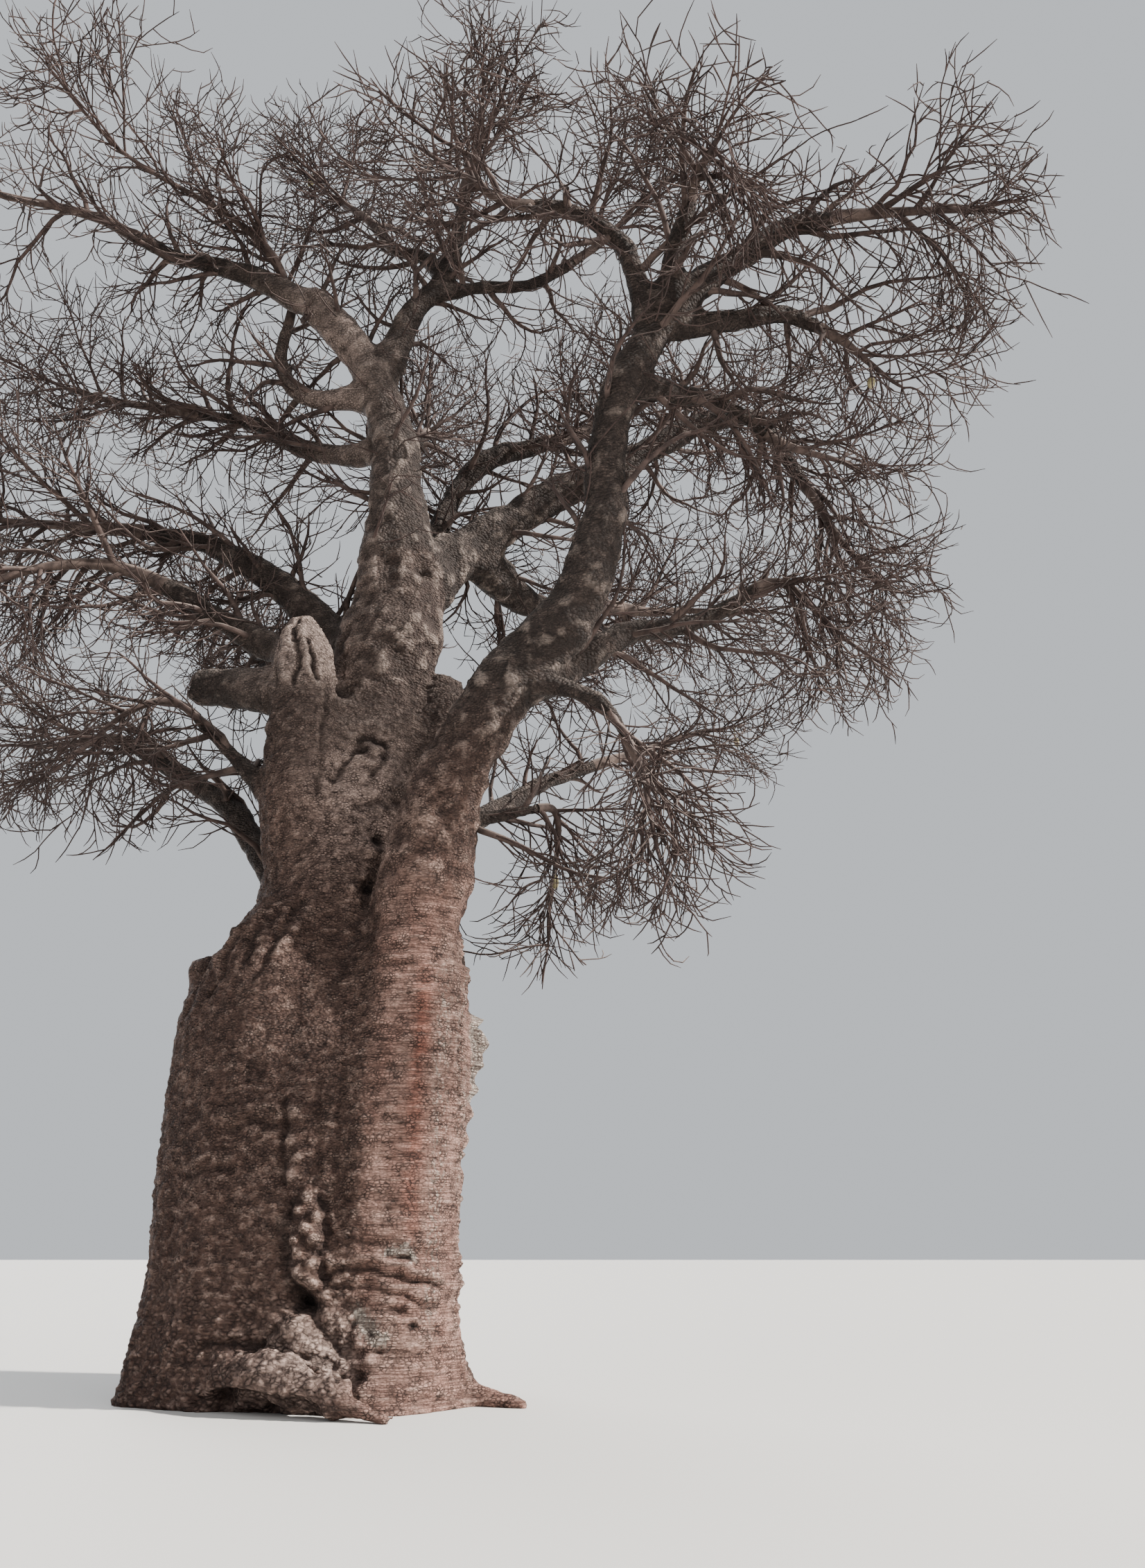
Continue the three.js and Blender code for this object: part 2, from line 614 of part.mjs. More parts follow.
// Boughs are made in turn, and each is cut back clear of those already standing
function buildTree() {
  const group = new THREE.Group();
  group.name = "baobab";
  group.add(toMesh("trunk", buildTrunk(0), BARK));
  const cutters = [buildTrunk(TRUNK_CLEARANCE)];
  for (const [name, limb] of Object.entries(limbs)) {
    let solid = tube(limb);
    for (const cutter of cutters) solid = solid.subtract(cutter);
    group.add(toMesh(name, solid, BARK));
    cutters.push(tube({ ...limb, grow: CLEARANCE }));
  }
  Object.entries(masses).forEach(([name, mass], i) => {
    group.add(toMesh(name, buildMass(name, mass, 11 + 7 * i), TWIG));
  });
  return group;
}

export default buildTree();
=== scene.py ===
import math
from typing import NamedTuple

import bpy
import numpy as np
from mathutils import Euler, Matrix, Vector
from mathutils.kdtree import KDTree


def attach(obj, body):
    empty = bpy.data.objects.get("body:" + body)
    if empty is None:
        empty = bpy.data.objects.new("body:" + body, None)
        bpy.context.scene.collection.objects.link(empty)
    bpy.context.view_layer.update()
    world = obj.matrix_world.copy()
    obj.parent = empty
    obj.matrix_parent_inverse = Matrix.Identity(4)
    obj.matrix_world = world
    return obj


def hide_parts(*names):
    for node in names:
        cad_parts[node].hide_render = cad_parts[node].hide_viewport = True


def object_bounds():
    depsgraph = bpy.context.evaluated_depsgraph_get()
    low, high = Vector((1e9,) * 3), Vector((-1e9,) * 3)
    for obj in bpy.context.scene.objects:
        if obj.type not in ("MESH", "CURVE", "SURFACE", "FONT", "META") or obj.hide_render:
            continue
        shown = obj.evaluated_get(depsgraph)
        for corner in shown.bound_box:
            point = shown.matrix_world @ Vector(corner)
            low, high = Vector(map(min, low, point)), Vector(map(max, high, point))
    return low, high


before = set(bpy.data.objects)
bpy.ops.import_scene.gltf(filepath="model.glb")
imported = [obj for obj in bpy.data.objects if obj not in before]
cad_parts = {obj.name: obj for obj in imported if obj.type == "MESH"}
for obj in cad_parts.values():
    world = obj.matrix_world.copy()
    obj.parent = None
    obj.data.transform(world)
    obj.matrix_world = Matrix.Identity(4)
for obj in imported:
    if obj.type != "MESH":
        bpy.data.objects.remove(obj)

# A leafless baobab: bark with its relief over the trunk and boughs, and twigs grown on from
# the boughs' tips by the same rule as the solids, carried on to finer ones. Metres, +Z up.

CAD_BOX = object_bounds()

# The photograph's camera: a phone's wide lens, held at eye height and tilted up at the crown
IMAGE_HEIGHT = 2262  # pixels
FOCAL_PIXELS = 1683
HORIZON_ROW = 1803
CAMERA_PLACE = (3.185, -15.4, 1.6)
SENSOR = 36.0  # millimetres along the frame's longer side

# The trunk's core up to the fork: height, x, y, radius
CORE = np.array([
    [0.0, -0.1, 0.1, 1.36],
    [3.0, -0.08, 0.1, 1.28],
    [5.5, -0.05, 0.15, 1.17],
    [7.5, 0.08, 0.2, 1.0],
    [9.1, 0.32, 0.3, 0.78],
])
FORK = CORE[-1, 0]

# Fused columns that end in a rounded shoulder: x, y, radius, top, height of the shoulder
LOBES = [
    (1.2, -0.95, 0.64, 6.5, 3.0),
    (0.4, -0.7, 0.86, 5.3, 2.6),
    (0.94, -0.3, 0.84, 5.9, 2.4),
    (-1.02, -0.25, 0.86, 5.3, 1.1),
    (-0.62, -0.7, 0.72, 5.9, 1.5),
    (0.8, 0.95, 0.9, 6.6, 2.0),
    (-0.7, 1.0, 0.84, 5.4, 1.6),
]
LOBE_POWER = 9

# Buttresses at the ground: bearing in degrees, reach
FLARES = [(-150, 0.14), (-62, 0.26), (-18, 0.3), (28, 0.3), (82, 0.26), (128, 0.34), (172, 0.16)]
FLARE_HEIGHT = 0.42
FLARE_WIDTH = 14

# Limbs fused into the trunk: the broken stump, a lower one behind the right limb, a dead stub on
# the right, a root that arches over the ground in front and one that lies along it
FUSED = [
    ([0.66, 0.66, 0.52, 0.42, 0.2],
     [(-0.2, 0.1, 5.6), (-0.47, -0.36, 7.2), (-0.58, -0.54, 8.6), (-0.66, -0.66, 9.6),
      (-0.72, -0.7, 10.05)]),
    ([0.6, 0.5, 0.4, 0.2], [(0.7, 0.3, 6.6), (1.02, 0.25, 8.0), (1.24, 0.2, 9.0), (1.36, 0.15, 9.5)]),
    ([0.3, 0.21], [(1.42, -0.5, 2.2), (1.79, -0.6, 4.15)]),
    ([0.24, 0.24, 0.19, 0.09],
     [(-1.0, -0.95, 0.2), (-0.15, -1.68, 0.32), (0.6, -2.05, 0.2), (1.4, -2.36, 0.02)]),
    ([0.3, 0.2, 0.1], [(1.3, -0.5, 0.16), (2.1, -0.8, 0.06), (2.7, -1.1, 0.01)]),
]

# Boughs: root inside the trunk, or the limb it leaves and how far along; radii; where it runs
BOUGHS = {
    "right_limb_low": ((1.1, -0.72, 5.0), (0.56, 0.35),
                       [(1.34, -1.0, 6.2), (1.74, -1.6, 7.35), (2.4, -2.0, 8.35), (3.12, -2.4, 9.11)]),
    "right_limb_high": (("right_limb_low", 0.97), (0.325, 0.225),
                        [(3.55, -2.78, 10.1), (3.68, -3.1, 11.3), (4.05, -3.4, 12.4), (4.88, -3.5, 13.5)]),
    "right_top": (("right_limb_high", 0.95), (0.19, 0.11),
                  [(5.3, -3.5, 13.86), (5.95, -3.6, 14.33), (6.77, -3.8, 14.31)]),
    "right_side": (("right_limb_high", 0.88), (0.16, 0.09),
                   [(5.3, -3.2, 13.15), (6.0, -3.1, 13.35), (6.6, -3.0, 13.2)]),
    "right_hang": (("right_limb_high", 0.67), (0.15, 0.09),
                   [(4.6, -2.8, 12.3), (5.3, -2.4, 12.4), (5.9, -2.1, 12.2)]),
    "right_crest": (("right_limb_high", 0.91), (0.17, 0.1), [(4.55, -3.85, 13.6), (4.65, -4.25, 14.1)]),
    "right_inner": (("right_limb_high", 0.84), (0.17, 0.095),
                    [(3.95, -3.62, 14.0), (3.25, -3.8, 14.5), (2.6, -3.95, 14.4)]),
    "rose": (("right_limb_low", 0.72), (0.24, 0.1),
             [(3.14, -1.6, 8.72), (4.05, -1.2, 9.5), (4.95, -1.0, 9.85), (5.7, -1.0, 10.4)]),
    "low_right": (("right_limb_low", 0.75), (0.13, 0.07),
                  [(3.2, -2.35, 8.05), (3.62, -2.5, 7.7), (3.85, -2.55, 7.25)]),
    "low_inner": (("right_limb_low", 0.36), (0.12, 0.07), [(2.15, -0.7, 7.0), (2.75, -0.4, 7.25)]),
    "central_stem_low": ((0.28, 0.28, 8.85), (0.74, 0.56), [(0.4, 0.2, 9.8), (0.56, 0.08, 11.0)]),
    "central_stem_high": (("central_stem_low", 0.83), (0.46, 0.24),
                          [(0.44, -0.1, 12.0), (0.33, -0.4, 13.44), (-0.1, -0.7, 14.65),
                           (-0.95, -1.0, 15.75)]),
    "middle_bough": (("central_stem_low", 0.87), (0.42, 0.2),
                     [(1.56, 0.5, 12.05), (2.7, 0.8, 13.2), (4.24, 0.8, 14.06), (5.5, 0.8, 14.85)]),
    "middle_drop": (("middle_bough", 0.97), (0.175, 0.11),
                    [(6.15, 0.6, 14.72), (6.65, 0.48, 14.1), (6.9, 0.3, 13.03)]),
    "middle_rise": (("middle_bough", 0.75), (0.15, 0.09), [(4.9, 1.5, 14.9), (5.3, 1.9, 15.9)]),
    "arch": (("central_stem_low", 0.95), (0.22, 0.15),
             [(0.75, 0.75, 12.2), (1.2, 1.05, 13.5), (2.0, 1.3, 14.6), (2.75, 1.5, 14.95)]),
    "behind": (("middle_bough", 0.24), (0.3, 0.18),
               [(2.0, 1.15, 11.8), (2.6, 1.9, 11.7), (3.5, 2.8, 12.3)]),
    "cut_stub": ((-0.7, -0.45, 8.95), (0.29, 0.26), [(-1.5, -0.3, 9.1), (-2.35, -0.15, 9.2)]),
    "left_upper": (("central_stem_low", 0.45), (0.32, 0.13),
                   [(-0.6, 0.75, 10.6), (-1.59, 0.7, 11.5), (-2.6, 0.6, 12.1), (-3.8, 0.45, 12.3)]),
    "left_middle": ((-0.6, -0.35, 9.35), (0.26, 0.14),
                    [(-1.3, 0.15, 10.0), (-2.1, 0.15, 10.45), (-2.97, -0.1, 10.95)]),
    "left_low": ((-0.85, -0.3, 7.3), (0.16, 0.08), [(-1.5, -0.35, 7.95), (-2.15, -0.5, 8.65)]),
    "left_high": (("central_stem_high", 0.475), (0.19, 0.1),
                  [(-1.0, 0.2, 13.7), (-2.2, 0.6, 14.5), (-3.2, 0.7, 14.8)]),
    "top_left": (("central_stem_high", 0.965), (0.2, 0.1),
                 [(-1.87, -1.1, 15.98), (-2.9, -1.3, 16.2), (-3.8, -1.6, 16.45)]),
    "left_elbow": (("central_stem_high", 0.66), (0.18, 0.09),
                   [(-1.0, -0.35, 14.3), (-1.5, -0.3, 14.9), (-1.45, -0.4, 15.7)]),
    "top_middle": (("central_stem_high", 0.69), (0.24, 0.11),
                   [(0.6, -0.8, 15.46), (1.15, -0.95, 16.3), (1.34, -1.2, 17.7)]),
    "top_fork_left": (("top_middle", 0.63), (0.14, 0.09),
                      [(0.7, -0.75, 16.8), (0.1, -0.6, 17.1), (-0.2, -0.5, 17.7)]),
    "top_fork_right": (("top_middle", 0.5), (0.13, 0.08),
                       [(1.78, -0.8, 16.15), (2.6, -0.8, 16.25), (3.3, -0.9, 16.6)]),
    "back_left": ((-0.15, 0.6, 7.4), (0.44, 0.2), [(-1.0, 1.9, 9.4), (-2.2, 3.2, 11.3), (-3.2, 4.4, 12.6)]),
    "back_low_left": ((-0.55, 0.7, 5.8), (0.24, 0.11),
                      [(-1.9, 1.7, 7.6), (-3.4, 2.4, 9.0), (-4.4, 2.7, 9.5)]),
    "back_right": ((0.5, 0.6, 7.9), (0.42, 0.2), [(1.3, 2.2, 9.8), (2.1, 3.8, 11.4), (2.9, 5.0, 12.8)]),
    "back_low_right": ((0.6, 0.9, 6.0), (0.25, 0.12), [(1.2, 2.3, 7.7), (2.2, 3.7, 9.0), (3.6, 4.4, 9.9)]),
    "back_top": (("central_stem_high", 0.35), (0.24, 0.13),
                 [(0.25, 1.2, 14.0), (0.1, 2.5, 15.2), (0.2, 3.4, 16.4)]),
}

# Masses of twigs: the bough each carries on, its furthest twig, spread and rise
MASSES = {
    "twigs_right_top": ("right_top", (8.8, -4.1, 14.0), 1.6, -0.1),
    "twigs_right_side": ("right_side", (7.6, -3.0, 12.2), 1.3, 0.05),
    "twigs_right_hang": ("right_hang", (7.3, -1.6, 11.9), 1.4, 0.1),
    "twigs_right_crest": ("right_crest", (4.9, -5.6, 13.5), 1.3, -0.15),
    "twigs_right_inner": ("right_inner", (1.3, -4.9, 14.4), 1.6, 0.15),
    "twigs_rose": ("rose", (7.3, -1.2, 9.2), 1.6, 0.1),
    "twigs_low_right": ("low_right", (4.2, -3.1, 5.6), 1.1, -0.3),
    "twigs_low_inner": ("low_inner", (2.9, 0.3, 5.5), 1.1, -0.3),
    "twigs_middle_drop": ("middle_drop", (8.2, 0.2, 10.9), 1.8, -0.1),
    "twigs_middle_rise": ("middle_rise", (7.2, 3.0, 16.8), 2.0, 0.45),
    "twigs_arch": ("arch", (4.4, 2.8, 18.0), 2.0, 0.5),
    "twigs_behind": ("behind", (6.6, 4.4, 13.2), 2.0, 0.2),
    "twigs_left_upper": ("left_upper", (-7.6, 0.8, 13.2), 2.1, 0.3),
    "twigs_left_middle": ("left_middle", (-6.6, -1.2, 10.0), 1.9, 0.0),
    "twigs_left_low": ("left_low", (-4.0, -1.2, 7.2), 1.4, -0.2),
    "twigs_left_high": ("left_high", (-6.6, 1.2, 16.2), 2.0, 0.3),
    "twigs_top_left": ("top_left", (-7.4, -2.6, 17.0), 2.2, 0.4),
    "twigs_left_elbow": ("left_elbow", (-4.6, -3.6, 17.6), 2.2, 0.35),
    "twigs_top_middle": ("top_middle", (2.2, -2.0, 19.5), 1.9, 0.4),
    "twigs_top_fork_left": ("top_fork_left", (-1.6, 0.2, 20.2), 1.9, 0.5),
    "twigs_top_fork_right": ("top_fork_right", (5.1, -1.2, 18.7), 1.9, 0.45),
    "twigs_back_left": ("back_left", (-5.0, 7.4, 14.8), 2.4, 0.4),
    "twigs_back_low_left": ("back_low_left", (-7.2, 4.2, 10.2), 1.9, 0.1),
    "twigs_back_right": ("back_right", (4.4, 7.8, 15.0), 2.4, 0.4),
    "twigs_back_low_right": ("back_low_right", (6.8, 5.6, 11.4), 1.9, 0.1),
    "twigs_back_top": ("back_top", (0.2, 6.0, 19.0), 2.3, 0.5),
}

# Boughs that bear no mass of their own, given to the mass that also grows twigs on them
ALSO_CARRIES = {
    "twigs_right_hang": ["right_limb_high"],
    "twigs_left_elbow": ["central_stem_high"],
    "twigs_middle_rise": ["middle_bough"],
}

# How much less the fine twigs of some masses rise than the solids' twigs
FINE_LIFT = {"twigs_right_top": -0.45, "twigs_right_crest": -0.2, "twigs_right_side": -0.1,
             "twigs_top_middle": -0.25, "twigs_top_fork_left": -0.35, "twigs_top_fork_right": -0.15}

# How much denser the branches stand where the photograph shows the crown thick
DENSER = {"twigs_left_upper": 1.6, "twigs_left_middle": 1.5, "twigs_left_low": 1.2, "twigs_left_high": 1.6,
          "twigs_top_left": 1.45, "twigs_left_elbow": 1.2, "twigs_right_hang": 1.3, "twigs_middle_drop": 1.15}

CROWN_MIDDLE = (0.5, 0.3, 11.0)
CROWN_STEP = 5  # degrees between the directions in which the crown's reach is told
CROWN_CONE = 11  # how wide each of those directions looks, in degrees
FURTHEST = 1.5  # no twig ends further than this from a limb or twig of the solids
PAST_CROWN = 0.1  # how far past the solids' reach a finer twig may end
PAST_BOX = 0.15  # and how far past their box

# The branching rule's sizes, as in the solids
LATERALS = 6
SHOOTS = 3
TWIG_TIP = 0.012
TWIG_ROOM = 0.06
GOLDEN_ANGLE = 2.39996
SHOOT_TURN = 2.6  # from one shoot to the next round its twig, radians
FULL_TURN = 6.28  # radians
COLUMNS_DEPTH = 1.2  # the trunk's columns stand out from its core by no more than this
STEM_START = 0.94  # a stem's first radius, of its bough's last
STEM_TIP = 1.6  # a stem's last radius, of a twig's tip
STEM_TAPER = 0.75
STEM_EASE = 0.35  # how far a stem keeps its bough's heading, of its length
STEM_BOW = 0.3  # how far a stem bows down before its end, of its rise
STEM_OVERLAP = 0.08  # a drawn stem starts this far back inside its bough
TWIG_CLEAR = 0.04  # finer twigs keep this clear of limbs
TRUNK_DEPTH = 1.0  # and end no deeper than this in the space of the trunk's columns


class Growth(NamedTuple):
    """How finer twigs grow along thicker ones, in metres and radians."""
    spacing: float
    shortest: float
    longest: float
    rise: float  # how much they turn up, on top of their mass's own rise
    start: float  # share of the carrier that stays bare at its root
    spans: int  # straight pieces in each
    tip: float  # radius at the end
    most: float  # largest radius at the root
    turn: float = SHOOT_TURN  # from one to the next round the carrier
    widest: float = 0.95  # largest angle off the carrier
    droop: float = 0.6  # how much they turn down at first
    wander: float = 0.05


BRANCH = {"spans": 8, "tip": 0.013, "turn": GOLDEN_ANGLE, "widest": 1.15, "droop": 0.45, "wander": 0.16}
TWIG = {"spans": 5, "most": 0.02, "tip": 0.0095}
BRANCH_ON_BOUGH = Growth(spacing=0.3, shortest=1.2, longest=2.8, rise=0.2, start=0.14, most=0.06, **BRANCH)
BRANCH_ON_STEM = Growth(spacing=0.36, shortest=0.9, longest=2.2, rise=0.25, start=0.12, most=0.045, **BRANCH)
TWIG_ON_BOUGH = Growth(spacing=0.36, shortest=0.5, longest=1.2, rise=0.8, start=0.15, **TWIG)
TWIG_ON_STEM = Growth(spacing=0.22, shortest=0.6, longest=1.3, rise=0.7, start=0.12, **TWIG)
TWIG_ON_BRANCH = Growth(spacing=0.155, shortest=0.5, longest=1.25, rise=0.7, start=0.1,
                        spans=5, tip=0.009, most=0.018)
FINEST = Growth(spacing=0.31, shortest=0.3, longest=0.75, rise=0.8, start=0.16,
                spans=3, tip=0.008, most=0.012)

# The smooth body under the bark
BARK_CELL = 0.062
TRUNK_SPLIT = 3.9  # height at which the trunk's bark is parted into two pieces
BELOW_GROUND = 0.12  # the body starts this deep, and what lies below ground is cut flat
TRUNK_RINGS = 95
TRUNK_SIDES = 96
LIMB_SIDES = 24
COLLAR = 0.42  # how much wider a limb is where it leaves its parent
COLLAR_MOST = 0.9  # where that starts to fade, of the parent's radius, which it never passes
COLLAR_FADE = 1.5  # over how much of its own radius it fades
ROOT_IN_TRUNK = 0.55  # taken as the parent's radius for a bough that leaves the trunk
EASE_ROUNDS = 40  # how many times the joints are smoothed
TRUNK_LEAD = 0.06  # a place is on the trunk unless it is this much nearer to a limb
UNDERSIDE = -0.05  # squares lower than this lie on the flat cut under the trunk

# Limbs and twigs sway outside this distance from the trunk's middle and above this height
SWAY_MIDDLE = (0.3, 0.0)
SWAY_RADIUS = 1.2
SWAY_HEIGHT = 10.5
SWAY_EASE = 2.2  # metres over which it grows

# Relief of the bark
NEAR_LIMB = 0.35  # a place further from every limb lies on the trunk
TRUNK_GIRTH = 0.9  # the radius taken there
FULL_GIRTH = 0.5  # limbs thinner than this have less relief
LEAST_RELIEF = 0.12  # the thinnest ones' share of it
CELL_EDGE = 0.55  # distance from its seed at which a bump starts
SETTLE_WEIGHT = (1, 0.25, 1)  # marks move onto the surface mostly along the view

TINY = 1e-12
FAR = 9.0  # stands for a distance too great to matter
NEARBY = 0.6  # marks and limbs further from a place than this aren't measured
SIDEWAYS = np.array([0.31, 0.87, 0.39])  # a direction in which nothing grows


# Vectors and paths

def unit(v):
    return v / np.maximum(np.linalg.norm(v, axis=-1, keepdims=True), TINY)


def smooth(low, high, x):
    """From 0 at low to 1 at high, level beyond them."""
    t = np.clip((x - low) / (high - low), 0, 1)
    return t * t * (3 - 2 * t)


def bell(distance, width):
    return np.exp(-((distance / width) ** 2))


def away_from(points, place):
    return np.linalg.norm(points - place, axis=1)


def boxed(points, places, margin):
    """Which points lie in the box round some places, widened by a margin."""
    return np.all((points > places.min(axis=0) - margin) & (points < places.max(axis=0) + margin), axis=1)


def tangents(path):
    ahead = np.concatenate([path[..., 1:, :], path[..., -1:, :]], axis=-2)
    behind = np.concatenate([path[..., :1, :], path[..., :-1, :]], axis=-2)
    return unit(ahead - behind)


def catmull_rom(via, count):
    """count + 1 points on the smooth path through the places in via, centripetal."""
    via = np.array(via, dtype=float)
    ends = np.vstack([2 * via[0] - via[1], via, 2 * via[-1] - via[-2]])
    points = []
    for i in range(count + 1):
        place = i / count * (len(via) - 1)
        k = min(int(place), len(via) - 2)
        t = place - k
        p0, p1, p2, p3 = ends[k:k + 4]
        d0, d1, d2 = [np.sum((b - a) ** 2) ** 0.25 for a, b in ((p0, p1), (p1, p2), (p2, p3))]
        m1 = ((p1 - p0) / d0 - (p2 - p0) / (d0 + d1) + (p2 - p1) / d1) * d1
        m2 = ((p2 - p1) / d1 - (p3 - p1) / (d1 + d2) + (p3 - p2) / d2) * d1
        points.append(p1 + m1 * t + (3 * (p2 - p1) - 2 * m1 - m2) * t ** 2
                      + (2 * (p1 - p2) + m1 + m2) * t ** 3)
    return np.array(points)


def limb_shape(via, radii, pieces):
    """A limb's path and radii, with that many straight pieces to each stretch of via."""
    count = (len(via) - 1) * pieces
    path = catmull_rom(via, count)
    shares = np.linspace(0, len(radii) - 1, count + 1)
    return {"path": path, "radii": np.interp(shares, np.arange(len(radii)), radii)}


def station(limb, share):
    """Place, heading and radius at a share of the way along a limb."""
    spans = len(limb["path"]) - 1
    low = min(int(share * spans), spans - 1)
    t = share * spans - low
    a, b = limb["path"][low], limb["path"][low + 1]
    radius = limb["radii"][low] * (1 - t) + limb["radii"][low + 1] * t
    return a + (b - a) * t, unit(b - a), radius


def grow_limbs(pieces):
    limbs = {}
    for name, (root, radii, via) in BOUGHS.items():
        if isinstance(root[0], str):
            root = station(limbs[root[0]], root[1])[0]
        limbs[name] = limb_shape([root, *via], radii, pieces)
    return limbs


def off_path(points, path, radii):
    """Distance from each point to the middle of each stretch of a path, and the radius there."""
    a, b = path[:-1], path[1:]
    ab = b - a
    t = np.einsum("nmk,mk->nm", points[:, None] - a, ab) / np.maximum(np.sum(ab * ab, axis=1), TINY)
    t = np.clip(t, 0, 1)
    foot = a + t[..., None] * ab
    return np.linalg.norm(points[:, None] - foot, axis=2), radii[:-1] * (1 - t) + radii[1:] * t


def gap_to_limb(points, limb):
    """Distance from each point to a limb's surface."""
    away, radius = off_path(points, limb["path"], limb["radii"])
    return (away - radius).min(axis=1)


# Trunk

def core_at(height):
    return [np.interp(height, CORE[:, 0], CORE[:, k]) for k in (1, 2, 3)]


def lobe_reach(lobe, core, bearing, height):
    x, y, radius, top, shoulder = lobe
    over = np.clip((height - top + shoulder) / shoulder, 0, 1)
    size = radius * np.sqrt(1 - over * over)
    dx, dy = x - core[0], y - core[1]
    forward = dx * np.cos(bearing) + dy * np.sin(bearing)
    inside = size * size - (dx * dx + dy * dy - forward * forward)
    return np.where(inside > 0, np.maximum(0, forward + np.sqrt(np.maximum(inside, 0))), 0)


def trunk_radius(bearing, height):
    core = core_at(height)
    total = core[2] ** LOBE_POWER
    for lobe in LOBES:
        total = total + lobe_reach(lobe, core, bearing, height) ** LOBE_POWER
    radius = total ** (1 / LOBE_POWER)
    for degrees, size in FLARES:
        turn = (np.degrees(bearing) - degrees + 180) % 360 - 180
        radius = radius + size * np.exp(-height / FLARE_HEIGHT) * bell(turn, FLARE_WIDTH)
    return radius


def trunk_rings():
    heights = np.linspace(-BELOW_GROUND, FORK, TRUNK_RINGS)
    bearings = np.linspace(0, 2 * np.pi, TRUNK_SIDES + 1)[:-1]
    height, bearing = np.meshgrid(np.maximum(heights, 0), bearings, indexing="ij")
    radius = trunk_radius(bearing, height)
    x, y, _ = core_at(height)
    rings = np.stack([x + radius * np.cos(bearing), y + radius * np.sin(bearing), height], axis=-1)
    rings[:, :, 2] = heights[:, None]
    return rings


# Meshes from arrays

def ring_frames(path):
    """Two directions across a path, or many paths at once, carried along without twisting."""
    along = tangents(path)
    side = np.broadcast_to(SIDEWAYS, along[..., 0, :].shape)
    sides, across = [], []
    for i in range(path.shape[-2]):
        t = along[..., i, :]
        side = unit(side - np.sum(side * t, axis=-1, keepdims=True) * t)
        sides.append(side)
        across.append(np.cross(t, side))
    return np.stack(sides, axis=-2), np.stack(across, axis=-2)


def rings_round(path, radii, sides):
    """Rings of points round a path, or round many paths at once."""
    side, across = ring_frames(path)
    angle = (np.arange(sides) * 2 * np.pi / sides)[:, None]
    spokes = side[..., None, :] * np.cos(angle) + across[..., None, :] * np.sin(angle)
    return path[..., None, :] + spokes * radii[..., None, None]


def wall_faces(rings, sides):
    """The squares between the rings of one tube."""
    k = np.arange(sides)
    after = (k + 1) % sides
    low = (np.arange(rings - 1) * sides)[:, None]
    return np.stack([low + k, low + after, low + sides + after, low + sides + k], axis=-1).reshape(-1, 4)


def closed_tube(rings):
    """Points and faces of one stack of rings, with flat ends."""
    count, sides = rings.shape[:2]
    k = np.arange(sides)
    ends = [tuple(k[::-1]), tuple((count - 1) * sides + k)]
    return rings.reshape(-1, 3), [tuple(face) for face in wall_faces(count, sides)] + ends


def open_tubes(paths, radii, sides):
    """Points and faces of many equal-sized tubes with open ends."""
    count, rings = paths.shape[:2]
    base = (np.arange(count) * rings * sides)[:, None, None]
    faces = base + wall_faces(rings, sides)
    return rings_round(paths, radii, sides).reshape(-1, 3), faces.reshape(-1, 4)


def added(name, data):
    """A new object in the scene."""
    made = bpy.data.objects.new(name, data)
    bpy.context.scene.collection.objects.link(made)
    return made


def new_mesh(name, points, faces, material, masks=()):
    """A mesh object from points, four-sided faces and named values at the points."""
    faces = np.asarray(faces, dtype=np.int32)
    mesh = bpy.data.meshes.new(name)
    mesh.vertices.add(len(points))
    mesh.vertices.foreach_set("co", np.asarray(points, dtype=np.float32).ravel())
    mesh.loops.add(faces.size)
    mesh.loops.foreach_set("vertex_index", faces.ravel())
    mesh.polygons.add(len(faces))
    mesh.polygons.foreach_set("loop_start", np.arange(len(faces), dtype=np.int32) * 4)
    mesh.materials.append(material)
    mesh.update(calc_edges=True)
    mesh.shade_smooth()
    for key, values in dict(masks).items():
        layer = mesh.attributes.new(key, "FLOAT", "POINT")
        layer.data.foreach_set("value", np.asarray(values, dtype=np.float32))
    return added(name, mesh)


# Noise, the same on every run

def lattice(cell, seed):
    """A number from 0 to 1 for each whole-numbered place, by mixing its bits."""
    x, y, z = [cell[..., k].astype(np.int64).astype(np.uint32) for k in range(3)]
    h = x * np.uint32(374761393) + y * np.uint32(668265263) + z * np.uint32(2246822519)
    h = h + np.uint32(seed * 3266489917 % 4294967296)
    h = (h ^ (h >> np.uint32(15))) * np.uint32(2246822519)
    h = (h ^ (h >> np.uint32(13))) * np.uint32(3266489917)
    return ((h ^ (h >> np.uint32(16))) & np.uint32(0xFFFFFF)) / 0xFFFFFF


def noise(points, seed):
    """Smooth noise from -1 to 1 with features about one unit across."""
    cell = np.floor(points)
    t = points - cell
    t = t * t * (3 - 2 * t)
    total = 0
    for corner in np.ndindex(2, 2, 2):
        weight = np.prod(np.where(corner, t, 1 - t), axis=-1)
        total = total + weight * lattice(cell + corner, seed)
    return total * 2 - 1


def fractal(points, octaves, seed):
    return sum(noise(points * 2.03 ** i, seed + i) * 0.5 ** i for i in range(octaves))


def cells(points, seed):
    """Distance to the nearest of many scattered seeds, about one to a unit cube."""
    home = np.floor(points)
    best = np.full(points.shape[:-1], FAR)
    for step in np.ndindex(3, 3, 3):
        cell = home + step - np.array(1)
        jitter = np.stack([lattice(cell, seed + k) for k in range(3)], axis=-1)
        best = np.minimum(best, np.sum((cell + jitter - points) ** 2, axis=-1))
    return np.sqrt(best)


# Relief of the bark: marks seen on the trunk, each at its place on the surface

